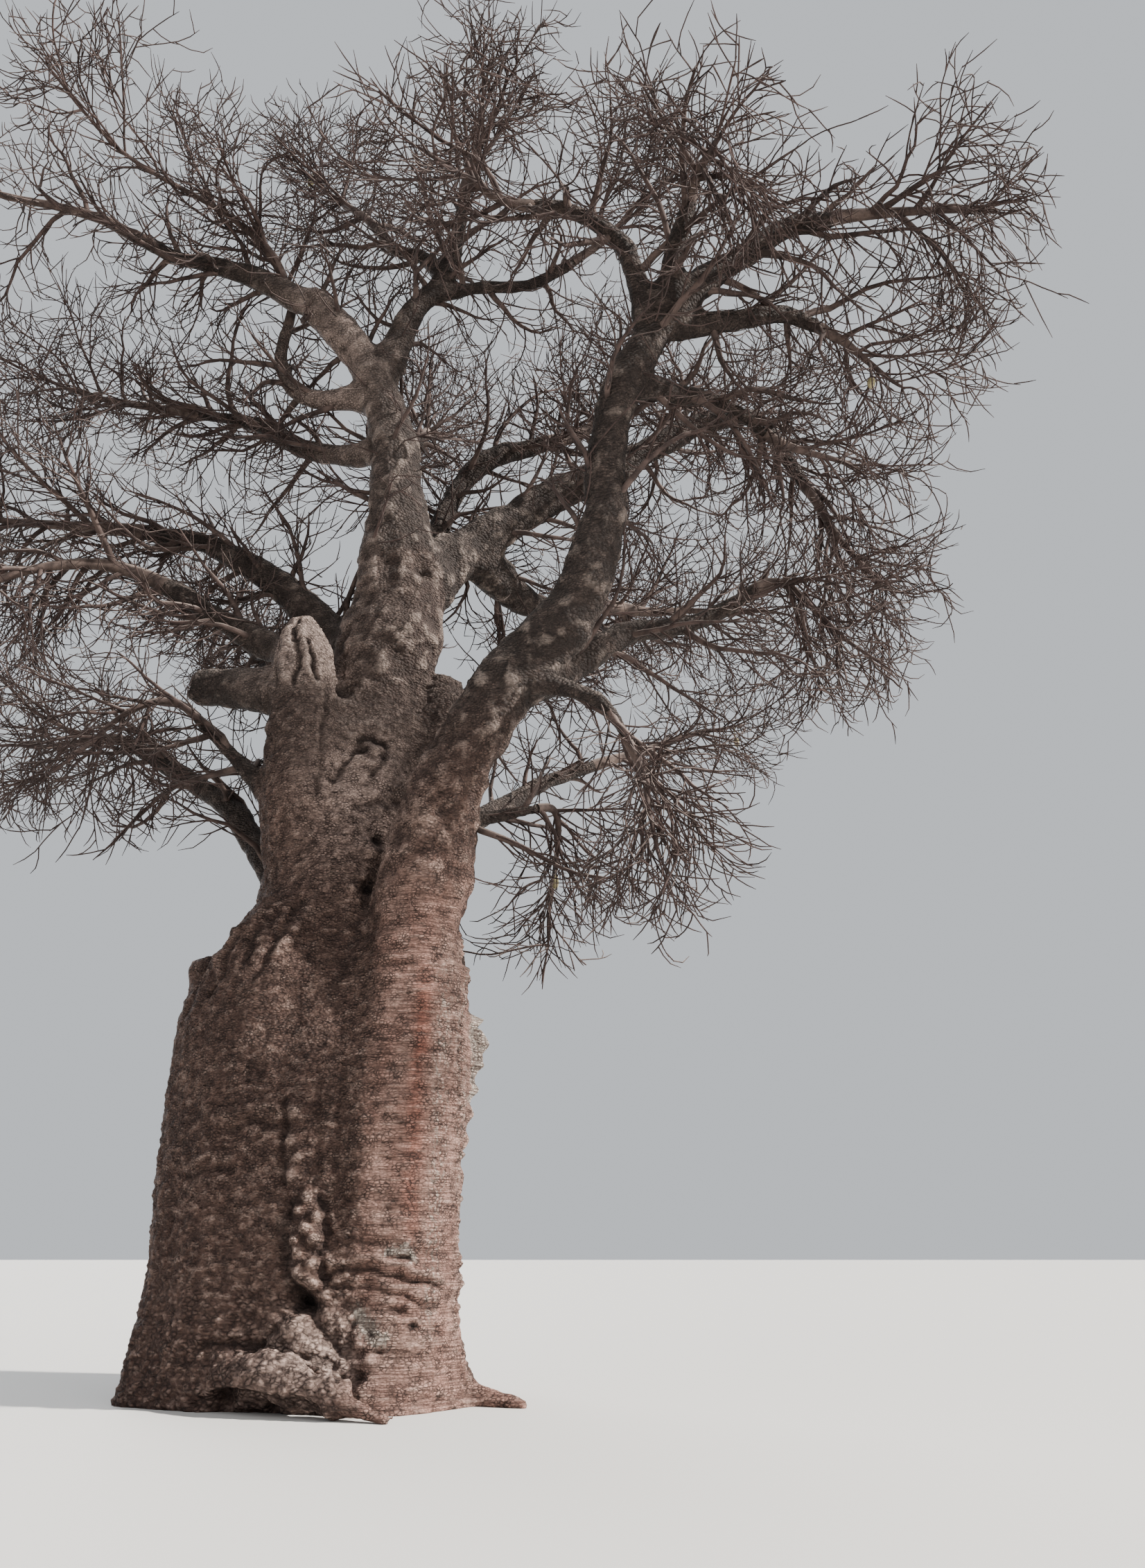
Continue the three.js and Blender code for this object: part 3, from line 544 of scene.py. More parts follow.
# Knobs and, below nought, hollows: place, radius, height. The last rows are on the sides and the far side.
KNOBS = [
    [(0.02, -1.4, 3.06), 0.1, 0.14], [(-0.03, -1.4, 2.78), 0.085, 0.15], [(0.10, -1.4, 2.6), 0.07, 0.12],
    [(0.05, -1.4, 2.38), 0.09, 0.14], [(0.24, -1.45, 2.15), 0.07, 0.13], [(0.14, -1.45, 2.0), 0.06, 0.15],
    [(0.33, -1.5, 1.93), 0.065, 0.16], [(0.22, -1.5, 1.82), 0.07, 0.16], [(0.12, -1.5, 1.7), 0.06, 0.15],
    [(0.32, -1.5, 1.68), 0.07, 0.17], [(0.2, -1.5, 1.55), 0.065, 0.16], [(0.33, -1.5, 1.45), 0.065, 0.16],
    [(0.2, -1.5, 1.36), 0.085, 0.16], [(0.36, -1.5, 1.28), 0.065, 0.12], [(0.1, -1.5, 1.26), 0.06, 0.11],
    [(0.2, -1.55, 0.85), 0.13, 0.1], [(0.32, -1.6, 0.66), 0.17, 0.12], [(0.05, -1.6, 0.6), 0.2, 0.12],
    [(0.55, -1.75, 0.45), 0.18, 0.12], [(0.25, -1.7, 0.42), 0.18, 0.1], [(0.8, -1.85, 0.28), 0.13, 0.11],
    [(1.0, -1.85, 0.18), 0.1, 0.09], [(0.75, -1.75, 0.5), 0.12, 0.06],
    [(0.02, -0.72, 8.3), 0.16, 0.07], [(-0.36, -0.95, 7.2), 0.2, 0.07], [(0.15, -0.8, 7.3), 0.16, 0.06],
    [(0.5, -0.6, 8.45), 0.16, 0.06], [(0.3, -0.7, 7.75), 0.18, 0.06], [(0.8, -0.6, 7.6), 0.2, 0.07],
    [(-1.03, -0.76, 8.28), 0.09, 0.06], [(-1.6, -0.5, 4.95), 0.2, 0.2], [(-1.25, -0.9, 4.95), 0.16, 0.12],
    [(-1.38, -0.7, 5.15), 0.1, -0.1], [(0.54, -0.7, 6.45), 0.12, 0.15], [(0.8, -0.66, 6.42), 0.11, 0.15],
    [(0.58, -0.7, 6.68), 0.09, -0.12], [(0.83, -0.66, 6.64), 0.08, -0.11], [(0.42, -0.7, 6.6), 0.08, 0.06],
    [(0.32, -0.7, 8.06), 0.09, -0.18], [(0.44, -0.7, 7.96), 0.08, 0.12], [(0.18, -0.7, 8.16), 0.07, 0.11],
    [(0.45, -0.9, 6.1), 0.08, 0.07], [(0.6, -0.9, 5.95), 0.08, 0.08], [(0.36, -0.9, 5.9), 0.07, 0.06],
    [(0.7, -0.9, 6.15), 0.07, 0.06], [(0.05, -0.95, 6.9), 0.07, 0.04], [(-0.3, -1.0, 6.3), 0.08, 0.04],
    [(-1.0, -1.0, 5.3), 0.14, 0.1], [(-0.75, -1.0, 5.5), 0.14, 0.09], [(0.95, -1.6, 4.9), 0.3, 0.05],
    [(-0.1, -0.38, 9.02), 0.14, -0.14], [(0.54, -0.82, 6.0), 0.1, -0.08],
    [(0.25, -1.5, 1.1), 0.14, -0.26], [(1.47, -1.67, 0.85), 0.06, -0.04], [(1.4, -1.7, 1.0), 0.05, 0.03],
    [(1.97, -0.6, 4.24), 0.1, 0.18], [(1.95, -0.6, 4.0), 0.12, 0.17], [(1.93, -0.62, 3.72), 0.13, 0.16],
    [(1.92, -0.64, 3.42), 0.13, 0.14], [(1.92, -0.66, 3.12), 0.12, 0.11], [(1.92, -0.68, 2.85), 0.1, 0.08],
    [(1.9, -0.1, 2.4), 0.2, 0.08], [(-1.7, 0.3, 2.6), 0.22, 0.08], [(-0.9, 1.7, 3.2), 0.24, 0.1],
    [(0.9, 1.75, 2.2), 0.22, 0.09], [(0.3, 1.3, 4.6), 0.2, -0.1], [(1.6, 0.9, 4.2), 0.18, 0.08],
    [(-1.5, 0.9, 1.5), 0.2, 0.07], [(0.1, 1.6, 1.2), 0.12, 0.1], [(0.05, 1.6, 1.7), 0.12, 0.1],
]

# Rims round a hole: place, radius of the rim, its height, depth of the hole
RIMS = [
    [(-0.45, 1.75, 2.1), 0.15, 0.05, 0.05],
    [(1.75, 0.7, 3.1), 0.14, 0.06, 0.07],
]

# Clefts and, above nought, ridges and folds: places along it, half width, height
CLEFTS = [
    [[(0.15, -1.45, 1.3), (0.22, -1.5, 1.1), (0.4, -1.56, 1.0)], 0.08, -0.12],
    [[(0.16, -1.5, 1.05), (0.0, -1.5, 0.8), (-0.3, -1.6, 0.55)], 0.06, -0.05],
    [[(0.36, -1.56, 1.0), (0.5, -1.7, 0.76), (0.75, -1.8, 0.6), (0.95, -1.9, 0.35)], 0.04, -0.035],
    [[(0.68, -1.75, 0.95), (0.7, -1.8, 0.66), (0.88, -1.85, 0.48), (1.18, -1.8, 0.48)], 0.035, 0.035],
    [[(0.8, -1.75, 0.88), (0.8, -1.8, 0.7), (0.94, -1.85, 0.58), (1.14, -1.8, 0.58)], 0.03, -0.03],
    [[(-0.55, -1.8, 0.1), (-0.2, -1.9, 0.14), (0.15, -1.95, 0.12), (0.5, -2.1, 0.05)], 0.12, -0.22],
    [[(-0.8, -1.6, 0.62), (-0.2, -1.8, 0.66), (0.3, -1.85, 0.56), (0.8, -1.95, 0.4), (1.1, -2.0, 0.24)],
     0.055, -0.06],
    [[(0.45, -1.56, 1.0), (0.62, -1.7, 0.86), (0.86, -1.8, 0.74), (1.06, -1.9, 0.5)], 0.07, 0.05],
    [[(0.06, -1.36, 2.1), (-0.04, -1.4, 1.8), (0.03, -1.4, 1.55), (0.08, -1.4, 1.2)], 0.09, -0.07],
    [[(0.36, -1.36, 2.15), (0.46, -1.5, 1.85), (0.42, -1.5, 1.6), (0.45, -1.5, 1.3)], 0.07, -0.06],
    [[(-0.14, -1.4, 3.2), (-0.12, -1.4, 2.8), (-0.06, -1.4, 2.3)], 0.06, -0.05],
    [[(0.2, -0.75, 8.0), (0.1, -0.8, 7.75), (-0.02, -0.85, 7.5)], 0.05, -0.07],
    [[(0.62, -0.6, 8.1), (0.6, -0.65, 7.85), (0.45, -0.7, 7.6)], 0.05, -0.06],
    [[(-0.16, -0.9, 8.9), (-0.18, -0.95, 8.2), (-0.2, -1.0, 7.2)], 0.05, -0.05],
    [[(-1.0, -1.4, 3.0), (-0.6, -1.4, 3.14), (-0.1, -1.4, 3.1)], 0.06, 0.035],
    [[(-0.9, -1.4, 2.88), (-0.5, -1.4, 2.98), (-0.1, -1.4, 2.96)], 0.05, -0.045],
    [[(-1.3, -1.2, 2.5), (-1.0, -1.4, 2.62), (-0.75, -1.4, 2.56)], 0.05, 0.04],
    [[(-1.3, -1.2, 2.38), (-1.0, -1.4, 2.48), (-0.75, -1.4, 2.44)], 0.045, -0.045],
    [[(0.22, -1.4, 3.5), (0.27, -1.4, 2.8), (0.32, -1.45, 2.3)], 0.06, -0.03],
    [[(0.5, -1.4, 3.6), (0.52, -1.4, 2.8), (0.54, -1.5, 2.2)], 0.06, -0.03],
    [[(-0.95, -1.1, 5.3), (-1.1, -1.3, 5.05), (-1.12, -1.4, 4.75), (-1.3, -1.4, 4.5)], 0.05, -0.05],
    [[(-0.66, -1.1, 5.5), (-0.82, -1.3, 5.2), (-0.84, -1.42, 4.9)], 0.07, -0.06],
    [[(-0.5, -1.1, 5.6), (-0.6, -1.3, 5.35)], 0.045, -0.04],
    [[(-0.3, -1.1, 5.75), (-0.42, -1.2, 5.3), (-0.6, -1.3, 4.85), (-0.72, -1.3, 4.6)], 0.05, -0.045],
    [[(-0.1, -1.1, 5.8), (-0.25, -1.2, 5.35), (-0.5, -1.3, 5.0)], 0.06, 0.035],
    [[(-1.2, -0.9, 5.3), (-1.3, -1.1, 4.9), (-1.26, -1.1, 4.55)], 0.05, -0.035],
    [[(-1.42, -0.7, 5.1), (-1.52, -0.9, 4.8), (-1.6, -1.0, 4.4)], 0.07, -0.05],
    [[(0.5, -1.6, 1.36), (0.9, -1.73, 1.42), (1.3, -1.7, 1.33), (1.75, -1.4, 1.2)], 0.035, -0.045],
    [[(0.5, -1.6, 1.46), (0.9, -1.73, 1.52), (1.3, -1.7, 1.43), (1.75, -1.4, 1.3)], 0.045, 0.04],
    [[(0.55, -1.6, 1.2), (0.95, -1.73, 1.24), (1.35, -1.7, 1.14), (1.7, -1.4, 1.0)], 0.035, -0.035],
    [[(1.2, -1.7, 1.0), (1.5, -1.6, 0.95), (1.75, -1.4, 0.8)], 0.035, -0.02],
    [[(0.3, -1.0, 4.6), (0.4, -1.1, 5.1), (0.5, -1.0, 5.7), (0.6, -0.9, 6.2)], 0.1, -0.05],
    [[(-0.72, -1.0, 9.95), (-0.75, -1.05, 9.75), (-0.68, -1.08, 9.5)], 0.035, -0.07],
    [[(-0.5, -0.95, 9.5), (-0.43, -0.95, 9.25), (-0.33, -0.95, 8.95)], 0.04, -0.07],
    [[(-0.98, -0.9, 9.6), (-1.02, -0.9, 9.3), (-0.94, -1.0, 8.9)], 0.04, -0.06],
    [[(-0.66, -1.08, 9.5), (-0.58, -1.08, 9.2), (-0.64, -1.08, 8.85)], 0.04, -0.06],
    [[(-0.85, -1.0, 9.7), (-0.86, -1.05, 9.3), (-0.8, -1.05, 8.9)], 0.07, 0.05],
    [[(-0.6, -1.0, 9.75), (-0.52, -1.0, 9.4), (-0.46, -1.0, 9.0)], 0.06, 0.05],
    [[(0.62, -0.85, 6.3), (0.54, -0.82, 6.0), (0.55, -0.95, 5.6)], 0.06, -0.05],
    [[(0.2, -0.6, 8.18), (0.38, -0.6, 8.2), (0.56, -0.5, 8.14)], 0.05, -0.09],
    [[(0.1, -0.6, 8.36), (0.35, -0.6, 8.42), (0.6, -0.5, 8.34)], 0.07, 0.05],
    [[(0.1, -0.7, 7.85), (0.45, -0.6, 7.75), (0.75, -0.5, 7.85)], 0.06, 0.04],
    [[(0.3, -0.7, 7.15), (0.6, -0.7, 7.2), (0.9, -0.5, 7.3)], 0.06, -0.04],
    [[(1.2, -1.74, 1.59), (1.3, -1.74, 1.6), (1.41, -1.7, 1.56)], 0.03, 0.035],
    [[(1.2, -1.74, 1.51), (1.3, -1.74, 1.47), (1.41, -1.7, 1.48)], 0.03, 0.035],
    [[(1.22, -1.74, 1.545), (1.3, -1.74, 1.54), (1.39, -1.7, 1.52)], 0.025, -0.05],
    [[(0.1, 1.6, 4.2), (0.05, 1.6, 2.6), (0.1, 1.7, 1.0)], 0.12, -0.06],
    [[(-1.9, 0.6, 3.8), (-1.8, 0.7, 2.4), (-1.9, 0.8, 0.8)], 0.1, -0.05],
]

# The warty seam down the right column: places along it, half width
SEAM = [[(1.72, -0.85, 5.3), (1.75, -0.89, 4.86), (1.81, -1.28, 3.94), (1.85, -1.30, 3.13),
         (1.90, -1.23, 2.36), (1.94, -1.10, 1.62), (1.98, -1.00, 0.9), (2.05, -0.98, 0.3)], 0.13]

# Pale streaks, at the foot of the column and over its knot: places along it, half width
FOOT_STREAK = [[(0.88, -1.82, 0.94), (1.0, -1.82, 0.82), (1.14, -1.86, 0.7)], 0.085]
KNOT_RIM = [[(1.16, -1.74, 1.57), (1.24, -1.74, 1.61), (1.34, -1.74, 1.61), (1.44, -1.7, 1.54)], 0.055]


def gap_to_line(points, places):
    path = np.array(places, dtype=float)
    gap = np.full(len(points), FAR)
    inside = boxed(points, path, NEARBY)
    if inside.any():
        gap[inside] = gap_to_limb(points[inside], {"path": path, "radii": np.zeros(len(path))})
    return gap


def settled(places, surface):
    """Places moved onto the surface, mostly towards or away from the viewer."""
    return [surface[np.sum(((surface - place) * SETTLE_WEIGHT) ** 2, axis=1).argmin()] for place in places]


def settle_marks(surface):
    """Lays every mark on the surface, lines with several places to each stretch."""
    for row in KNOBS + RIMS:
        row[0] = settled([row[0]], surface)[0]
    for row in CLEFTS + [SEAM, FOOT_STREAK, KNOT_RIM]:
        places = np.array(row[0])
        fine = [a + (b - a) * t for a, b in zip(places, places[1:]) for t in (0, 0.33, 0.67)]
        row[0] = settled([*fine, places[-1]], surface)


def marks(points):
    """Height of the trunk's own knobs, holes, clefts and folds."""
    height = np.zeros(len(points))
    for place, radius, rise in KNOBS:
        height += rise * bell(away_from(points, place), radius)
    for place, radius, rise, depth in RIMS:
        away = away_from(points, place)
        height += rise * bell(away - radius, radius * 0.4) - depth * bell(away, radius * 0.6)
    for places, width, rise in CLEFTS:
        height += rise * bell(gap_to_line(points, places), width)
    return height


def column_share(points):
    """How far a place belongs to the finely ridged column on the right."""
    x, y, z = points.T
    return smooth(0.7, 1.05, x) * smooth(-0.2, -0.7, y) * smooth(6.6, 5.2, z)


def relief(points, stout, girth):
    """How far the bark stands out at each place of the smooth body in metres, and where the seam is."""
    scale = np.clip(girth / FULL_GIRTH, LEAST_RELIEF, 1)
    wide = fractal(points * (1.1, 1.1, 0.7), 3, 3)
    folds = fractal(points * (2.6, 2.6, 0.45), 2, 11)
    wrinkles = fractal(points * (1.3, 1.3, 9.0), 2, 17)
    lumps = fractal(points * 4.5, 2, 23)
    warts = CELL_EDGE - cells(points * (9.0, 9.0, 13.0), 31)
    small = CELL_EDGE - cells(points * (14, 14, 19), 37)
    column = column_share(points)
    coarse = smooth(3.5, 0.5, points[:, 2]) * (1 - column)
    body = 0.04 * wide + 0.03 * folds + wrinkles * (0.009 + 0.02 * column) + 0.014 * lumps
    body += warts * (0.026 + 0.03 * coarse - 0.016 * column) + small * (0.022 - 0.014 * column)
    limb = 0.075 * wide * scale + 0.05 * lumps * scale + (0.02 * small + 0.026 * warts) * scale
    seam = bell(gap_to_line(points, SEAM[0]), SEAM[1])
    rough = seam * (0.02 + 0.13 * (0.6 - cells(points * 9, 53)))
    return stout * (body + rough + marks(points)) + (1 - stout) * limb, seam


# The smooth body under the bark

def sway(points):
    """A gentle crookedness that takes all limbs and twigs with it, and leaves the trunk alone."""
    aside = np.linalg.norm(points[..., :2] - SWAY_MIDDLE, axis=-1) - SWAY_RADIUS
    amount = smooth(0.0, SWAY_EASE, np.maximum(aside, points[..., 2] - SWAY_HEIGHT))[..., None]
    wide = np.stack([noise(points / 1.15, 71 + k) for k in range(3)], axis=-1)
    fine = np.stack([noise(points / 0.38, 81 + k) for k in range(3)], axis=-1)
    return points + amount * (0.12 * wide + 0.02 * fine)


def collared(limb, parent_radius):
    """A limb's radii, wider where it leaves its parent."""
    steps = np.linalg.norm(np.diff(limb["path"], axis=0), axis=1)
    run = np.concatenate([[0], np.cumsum(steps)])
    radius = limb["radii"][0]
    most = parent_radius * COLLAR_MOST
    wider = 1 + COLLAR * np.exp(-np.maximum(run - most, 0) / (COLLAR_FADE * radius))
    return np.minimum(limb["radii"] * wider, max(most, radius))


def body_parts():
    """Rings of every limb and of the trunk, each a closed tube that sinks into its neighbours."""
    parts = [trunk_rings()]
    for radii, via in FUSED:
        limb = limb_shape(via, radii, 8)
        parts.append(rings_round(limb["path"], limb["radii"], LIMB_SIDES))
    for name, limb in LIMBS.items():
        root = BOUGHS[name][0]
        parent_radius = station(LIMBS[root[0]], root[1])[2] if isinstance(root[0], str) else ROOT_IN_TRUNK
        path = limb["path"]
        uneven = 1 + 0.09 * noise(path * 1.7, 61) + 0.06 * noise(path * 4, 62)
        parts.append(rings_round(sway(path), collared(limb, parent_radius) * uneven, LIMB_SIDES))
    return parts


def remeshed(parts, cell):
    """One closed mesh over all the parts, in even squares."""
    points, faces = [], []
    base = 0
    for rings in parts:
        tube_points, tube_faces = closed_tube(rings)
        points.append(tube_points)
        faces += [tuple(int(i) + base for i in face) for face in tube_faces]
        base += len(tube_points)
    mesh = bpy.data.meshes.new("body")
    mesh.from_pydata(np.concatenate(points).tolist(), [], faces)
    body = added("body", mesh)
    remesh = body.modifiers.new("remesh", "REMESH")
    remesh.mode = "VOXEL"
    remesh.voxel_size = cell
    made = bpy.data.meshes.new_from_object(body.evaluated_get(bpy.context.evaluated_depsgraph_get()))
    places = np.empty(len(made.vertices) * 3)
    made.vertices.foreach_get("co", places)
    corners = np.empty(len(made.loops), dtype=np.int64)
    made.loops.foreach_get("vertex_index", corners)
    bpy.data.objects.remove(body)
    return places.reshape(-1, 3), corners.reshape(-1, 4)


def quad_edges(quads):
    edges = np.stack([quads, np.roll(quads, -1, axis=1)], axis=2).reshape(-1, 2)
    return np.unique(np.sort(edges, axis=1), axis=0, return_inverse=True)


def relaxed(points, quads, steps):
    """Points drawn towards their neighbours and back again, which rounds joints but keeps girth."""
    edges = quad_edges(quads)[0]
    here, there = np.concatenate([edges, edges[:, ::-1]]).T
    count = np.bincount(here, minlength=len(points))[:, None]
    for factor in steps:
        total = np.stack([np.bincount(here, values[there], len(points)) for values in points.T], axis=1)
        points = points + factor * (total / count - points)
    return points


def averaged(values, quads, rounds):
    return relaxed(values[:, None], quads, [0.5] * rounds)[:, 0]


def split_quads(points, quads, values):
    """Each square cut into four, with a value at each point carried over."""
    edges, which = quad_edges(quads)
    middle = which.reshape(-1, 4) + len(points)
    centre = np.arange(len(quads)) + len(points) + len(edges)
    four = [np.stack([quads[:, k], middle[:, k], centre, middle[:, k - 1]], axis=1) for k in range(4)]
    points, values = [np.concatenate([old, old[edges].mean(axis=1), old[quads].mean(axis=1)])
                      for old in (points, values)]
    return points, np.concatenate(four), values


def compact(points, quads, values):
    """Only the points that the squares use."""
    used, index = np.unique(quads, return_inverse=True)
    return points[used], index.reshape(-1, 4), values[used]


def point_normals(points, quads):
    a, b, c, d = [points[quads[:, k]] for k in range(4)]
    facing = np.cross(c - a, d - b)
    total = [np.bincount(quads.ravel(), np.repeat(values, 4), len(points)) for values in facing.T]
    return unit(np.stack(total, axis=1))


def girths(points):
    """Radius of the limb each place lies on, and its distance from that limb's surface."""
    best = np.full(len(points), NEAR_LIMB)
    girth = np.full(len(points), TRUNK_GIRTH)
    for limb in LIMBS.values():
        path = sway(limb["path"])
        where = np.flatnonzero(boxed(points, path, limb["radii"].max() + NEAR_LIMB))
        if len(where) == 0:
            continue
        away, radius = off_path(points[where], path, limb["radii"])
        gap = np.abs(away - radius)
        nearest = np.arange(len(where)), gap.argmin(axis=1)
        closer = gap[nearest] < best[where]
        hit = where[closer]
        best[hit], girth[hit] = gap[nearest][closer], radius[nearest][closer]
    return girth, best


def trunk_gap(points):
    """Distance from each point to the surface of the trunk or of a limb fused into it."""
    height = np.clip(points[:, 2], 0, FORK)
    x, y, _ = core_at(height)
    dx, dy = points[:, 0] - x, points[:, 1] - y
    wall = trunk_radius(np.arctan2(dy, dx), height)
    gap = np.where(points[:, 2] > FORK + 0.1, FAR, np.abs(np.hypot(dx, dy) - wall))
    return np.minimum.reduce([gap, *[np.abs(gap_to_limb(points, limb)) for limb in FUSED_LIMBS]])


# Twigs

def seeded(seed):
    """The next number from 0 to 1 each time the result is called, as in the solids."""
    state = [seed]
    mask = 0xFFFFFFFF

    def draw():
        state[0] = (state[0] + 0x6D2B79F5) & mask
        t = ((state[0] ^ (state[0] >> 15)) * (1 | state[0])) & mask
        t = ((t + (((t ^ (t >> 7)) * (61 | t)) & mask)) & mask) ^ t
        return (t ^ (t >> 14)) / 4294967296

    return draw


def bezier(a, b, c, d, t):
    t = t[:, None]
    return (1 - t) ** 3 * a + 3 * (1 - t) ** 2 * t * b + 3 * (1 - t) * t * t * c + t ** 3 * d


def stem_of(name):
    """The stem that carries a bough on to its mass's furthest twig."""
    on, target, _, lift = MASSES[name]
    path = COARSE[on]["path"]
    tip, heading = path[-1], unit(path[-1] - path[-2])
    target = np.array(target)
    length = np.linalg.norm(target - tip)
    lead = tip + heading * length * STEM_EASE
    trail = target + (tip - target) * STEM_EASE + np.array([0, 0, -lift * length * STEM_BOW])
    first = COARSE[on]["radii"][-1] * STEM_START

    def shape(count):
        shares = np.linspace(0, 1, count + 1)
        radii = first + (TWIG_TIP * STEM_TIP - first) * shares ** STEM_TAPER
        return {"path": bezier(tip, lead, trail, target, shares), "radii": radii}

    stem = shape(4)
    stem["fine"] = shape(16)
    return stem


def leaned(heading, angle, bearing):
    """Directions that lean away from a heading by an angle, towards a bearing round it."""
    side = unit(SIDEWAYS - np.sum(heading * SIDEWAYS, axis=-1, keepdims=True) * heading)
    across = np.cross(heading, side)
    angle, bearing = np.asarray(angle)[..., None], np.asarray(bearing)[..., None]
    return np.cos(angle) * heading + np.sin(angle) * (np.cos(bearing) * side + np.sin(bearing) * across)


def side_twig(parent, share, angle, bearing, length, lift, spans, thickness):
    """A twig of the solids, and the same twig finer and moved onto its parent's finer path."""
    place, heading, radius = station(parent, share)
    direction = leaned(heading, angle, bearing)
    path = [place]
    for _ in range(spans):
        direction = unit(direction + np.array([0, 0, lift * 1.1 / spans]))
        path.append(path[-1] + direction * length / spans)
    radii = np.linspace(radius * thickness, TWIG_TIP, spans + 1)
    fine = limb_shape(path, radii, 8 // spans)
    fine["path"] = fine["path"] + station(parent["fine"], share)[0] - place
    return {"path": np.array(path), "radii": radii, "length": length, "fine": fine}


def gap_to_trunk(points):
    """Distance to the trunk with its columns taken as one thick core, or to the stump."""
    stump = gap_to_limb(points, STUMP)
    x, y, radius = core_at(np.clip(points[:, 2], 0, FORK))
    core = np.hypot(points[:, 0] - x, points[:, 1] - y) - radius - COLUMNS_DEPTH
    return np.where(points[:, 2] > FORK + 1, stump, np.minimum(core, stump))


def is_free(twig, name):
    """Whether a twig keeps to its own mass's space and clear of every limb and stem."""
    places = [station(twig, min(share, 1)) for share in np.arange(0.3, 1.0011, 0.1)]
    points = np.array([place for place, _, _ in places])
    room = np.array([radius for _, _, radius in places]) + TWIG_ROOM
    if any((gap_to_limb(points, limb) < room).any() for limb in COARSE.values()):
        return False
    home = gap_to_limb(points, STEMS[name])
    for other, stem in STEMS.items():
        if other != name and (gap_to_limb(points, stem) < home + 2 * room).any():
            return False
    return bool((gap_to_trunk(points) >= room).all())


def main_twigs(name, seed):
    """The twigs of the solids: side twigs round a mass's stem, each with shoots of its own."""
    draw = seeded(seed)
    _, _, spread, lift = MASSES[name]
    twigs = []
    turn = draw() * FULL_TURN
    for i in range(LATERALS):
        share = 0.16 + 0.8 * (i + 0.5 * draw()) / LATERALS
        angle = 0.7 + 0.35 * draw()
        length = spread * (1.15 - 0.5 * share) * (0.85 + 0.3 * draw())
        lateral = side_twig(STEMS[name], share, angle, turn + GOLDEN_ANGLE * i, length, lift + 0.15, 2, 0.6)
        if is_free(lateral, name):
            twigs += [lateral, *shoots_of(lateral, name, draw)]
    return twigs


def shoots_of(lateral, name, draw):
    shoots = []
    lift = MASSES[name][3] + 0.3
    turn = draw() * FULL_TURN
    for j in range(SHOOTS):
        angle = 0.6 + 0.4 * draw()
        length = lateral["length"] * (0.55 - 0.08 * j) * (0.8 + 0.4 * draw())
        share = 0.35 + 0.6 * j / SHOOTS
        shoot = side_twig(lateral, share, angle, turn + SHOOT_TURN * j, length, lift, 1, 0.5)
        if is_free(shoot, name):
            shoots.append(shoot)
    return shoots


def along_paths(paths, radii, row, share):
    """Places, headings and radii at shares of the way along some of many equal-sized paths."""
    spans = paths.shape[1] - 1
    low = np.minimum((share * spans).astype(int), spans - 1)
    t = share * spans - low
    a, b = paths[row, low], paths[row, low + 1]
    radius = radii[row, low] * (1 - t) + radii[row, low + 1] * t
    return a + (b - a) * t[:, None], unit(b - a), radius


def offshoots(paths, radii, rng, growth, lift, fill=1):
    """Finer twigs along many twigs at once: their paths and radii. fill is how much denser."""
    lift = lift + growth.rise
    run = np.linalg.norm(np.diff(paths, axis=1), axis=2).sum(axis=1)
    room = run * (1 - growth.start) / (growth.spacing / fill)
    count = np.maximum((room + rng.random(len(run))).astype(int), 1)
    row = np.repeat(np.arange(len(run)), count)
    order = np.arange(len(row)) - np.repeat(np.cumsum(count) - count, count)
    share = growth.start + (1 - growth.start) * (order + 0.15 + 0.8 * rng.random(len(row))) / count[row]
    share = np.minimum(share, 0.99)
    place, heading, radius = along_paths(paths, radii, row, share)
    bearing = rng.random(len(run))[row] * FULL_TURN + growth.turn * order + rng.normal(0, 0.4, len(row))
    direction = leaned(heading, rng.uniform(0.5, growth.widest, len(row)), bearing)
    length = rng.uniform(growth.shortest, growth.longest, len(row)) * (1.15 - 0.45 * share)
    bend = rng.normal(0, 0.6, direction.shape)
    path = [place]
    for i in range(growth.spans):
        late = (i + 0.5) / growth.spans
        direction = direction + bend / growth.spans + rng.normal(0, growth.wander, direction.shape)
        direction[:, 2] += 2.2 * (lift * late - growth.droop * (1 - late)) / growth.spans
        direction = unit(direction)
        path.append(path[-1] + direction * (length / growth.spans)[:, None])
    first = np.clip(radius * 0.62, growth.tip * 1.25, growth.most)
    taper = np.linspace(0, 1, growth.spans + 1) ** 0.8
    return np.stack(path, axis=1), first[:, None] + (growth.tip - first)[:, None] * taper


def crown_reach():
    """How far the solids reach from the crown's middle, in directions by latitude and longitude."""
    out = SOLID_POINTS - CROWN_MIDDLE
    far = np.linalg.norm(out, axis=1)
    latitude, longitude = np.meshgrid(np.radians(np.arange(-90, 91, CROWN_STEP)),
                                      np.radians(np.arange(-180, 181, CROWN_STEP)), indexing="ij")
    toward = np.stack([np.cos(latitude) * np.cos(longitude), np.cos(latitude) * np.sin(longitude),
                       np.sin(latitude)], axis=-1)
    seen = toward @ (out / far[:, None]).T > np.cos(np.radians(CROWN_CONE))
    return np.where(seen, far, 0).max(axis=-1)


def in_crown(points):
    """Whether each place lies within the reach of the solids."""
    out = points - CROWN_MIDDLE
    far = np.linalg.norm(out, axis=1)
    latitude = np.degrees(np.arcsin(np.clip(out[:, 2] / far, -1, 1)))
    longitude = np.degrees(np.arctan2(out[:, 1], out[:, 0]))
    row = np.round((latitude + 90) / CROWN_STEP).astype(int)
    column = np.round((longitude + 180) / CROWN_STEP).astype(int)
    return far < CROWN[row, column] + PAST_CROWN


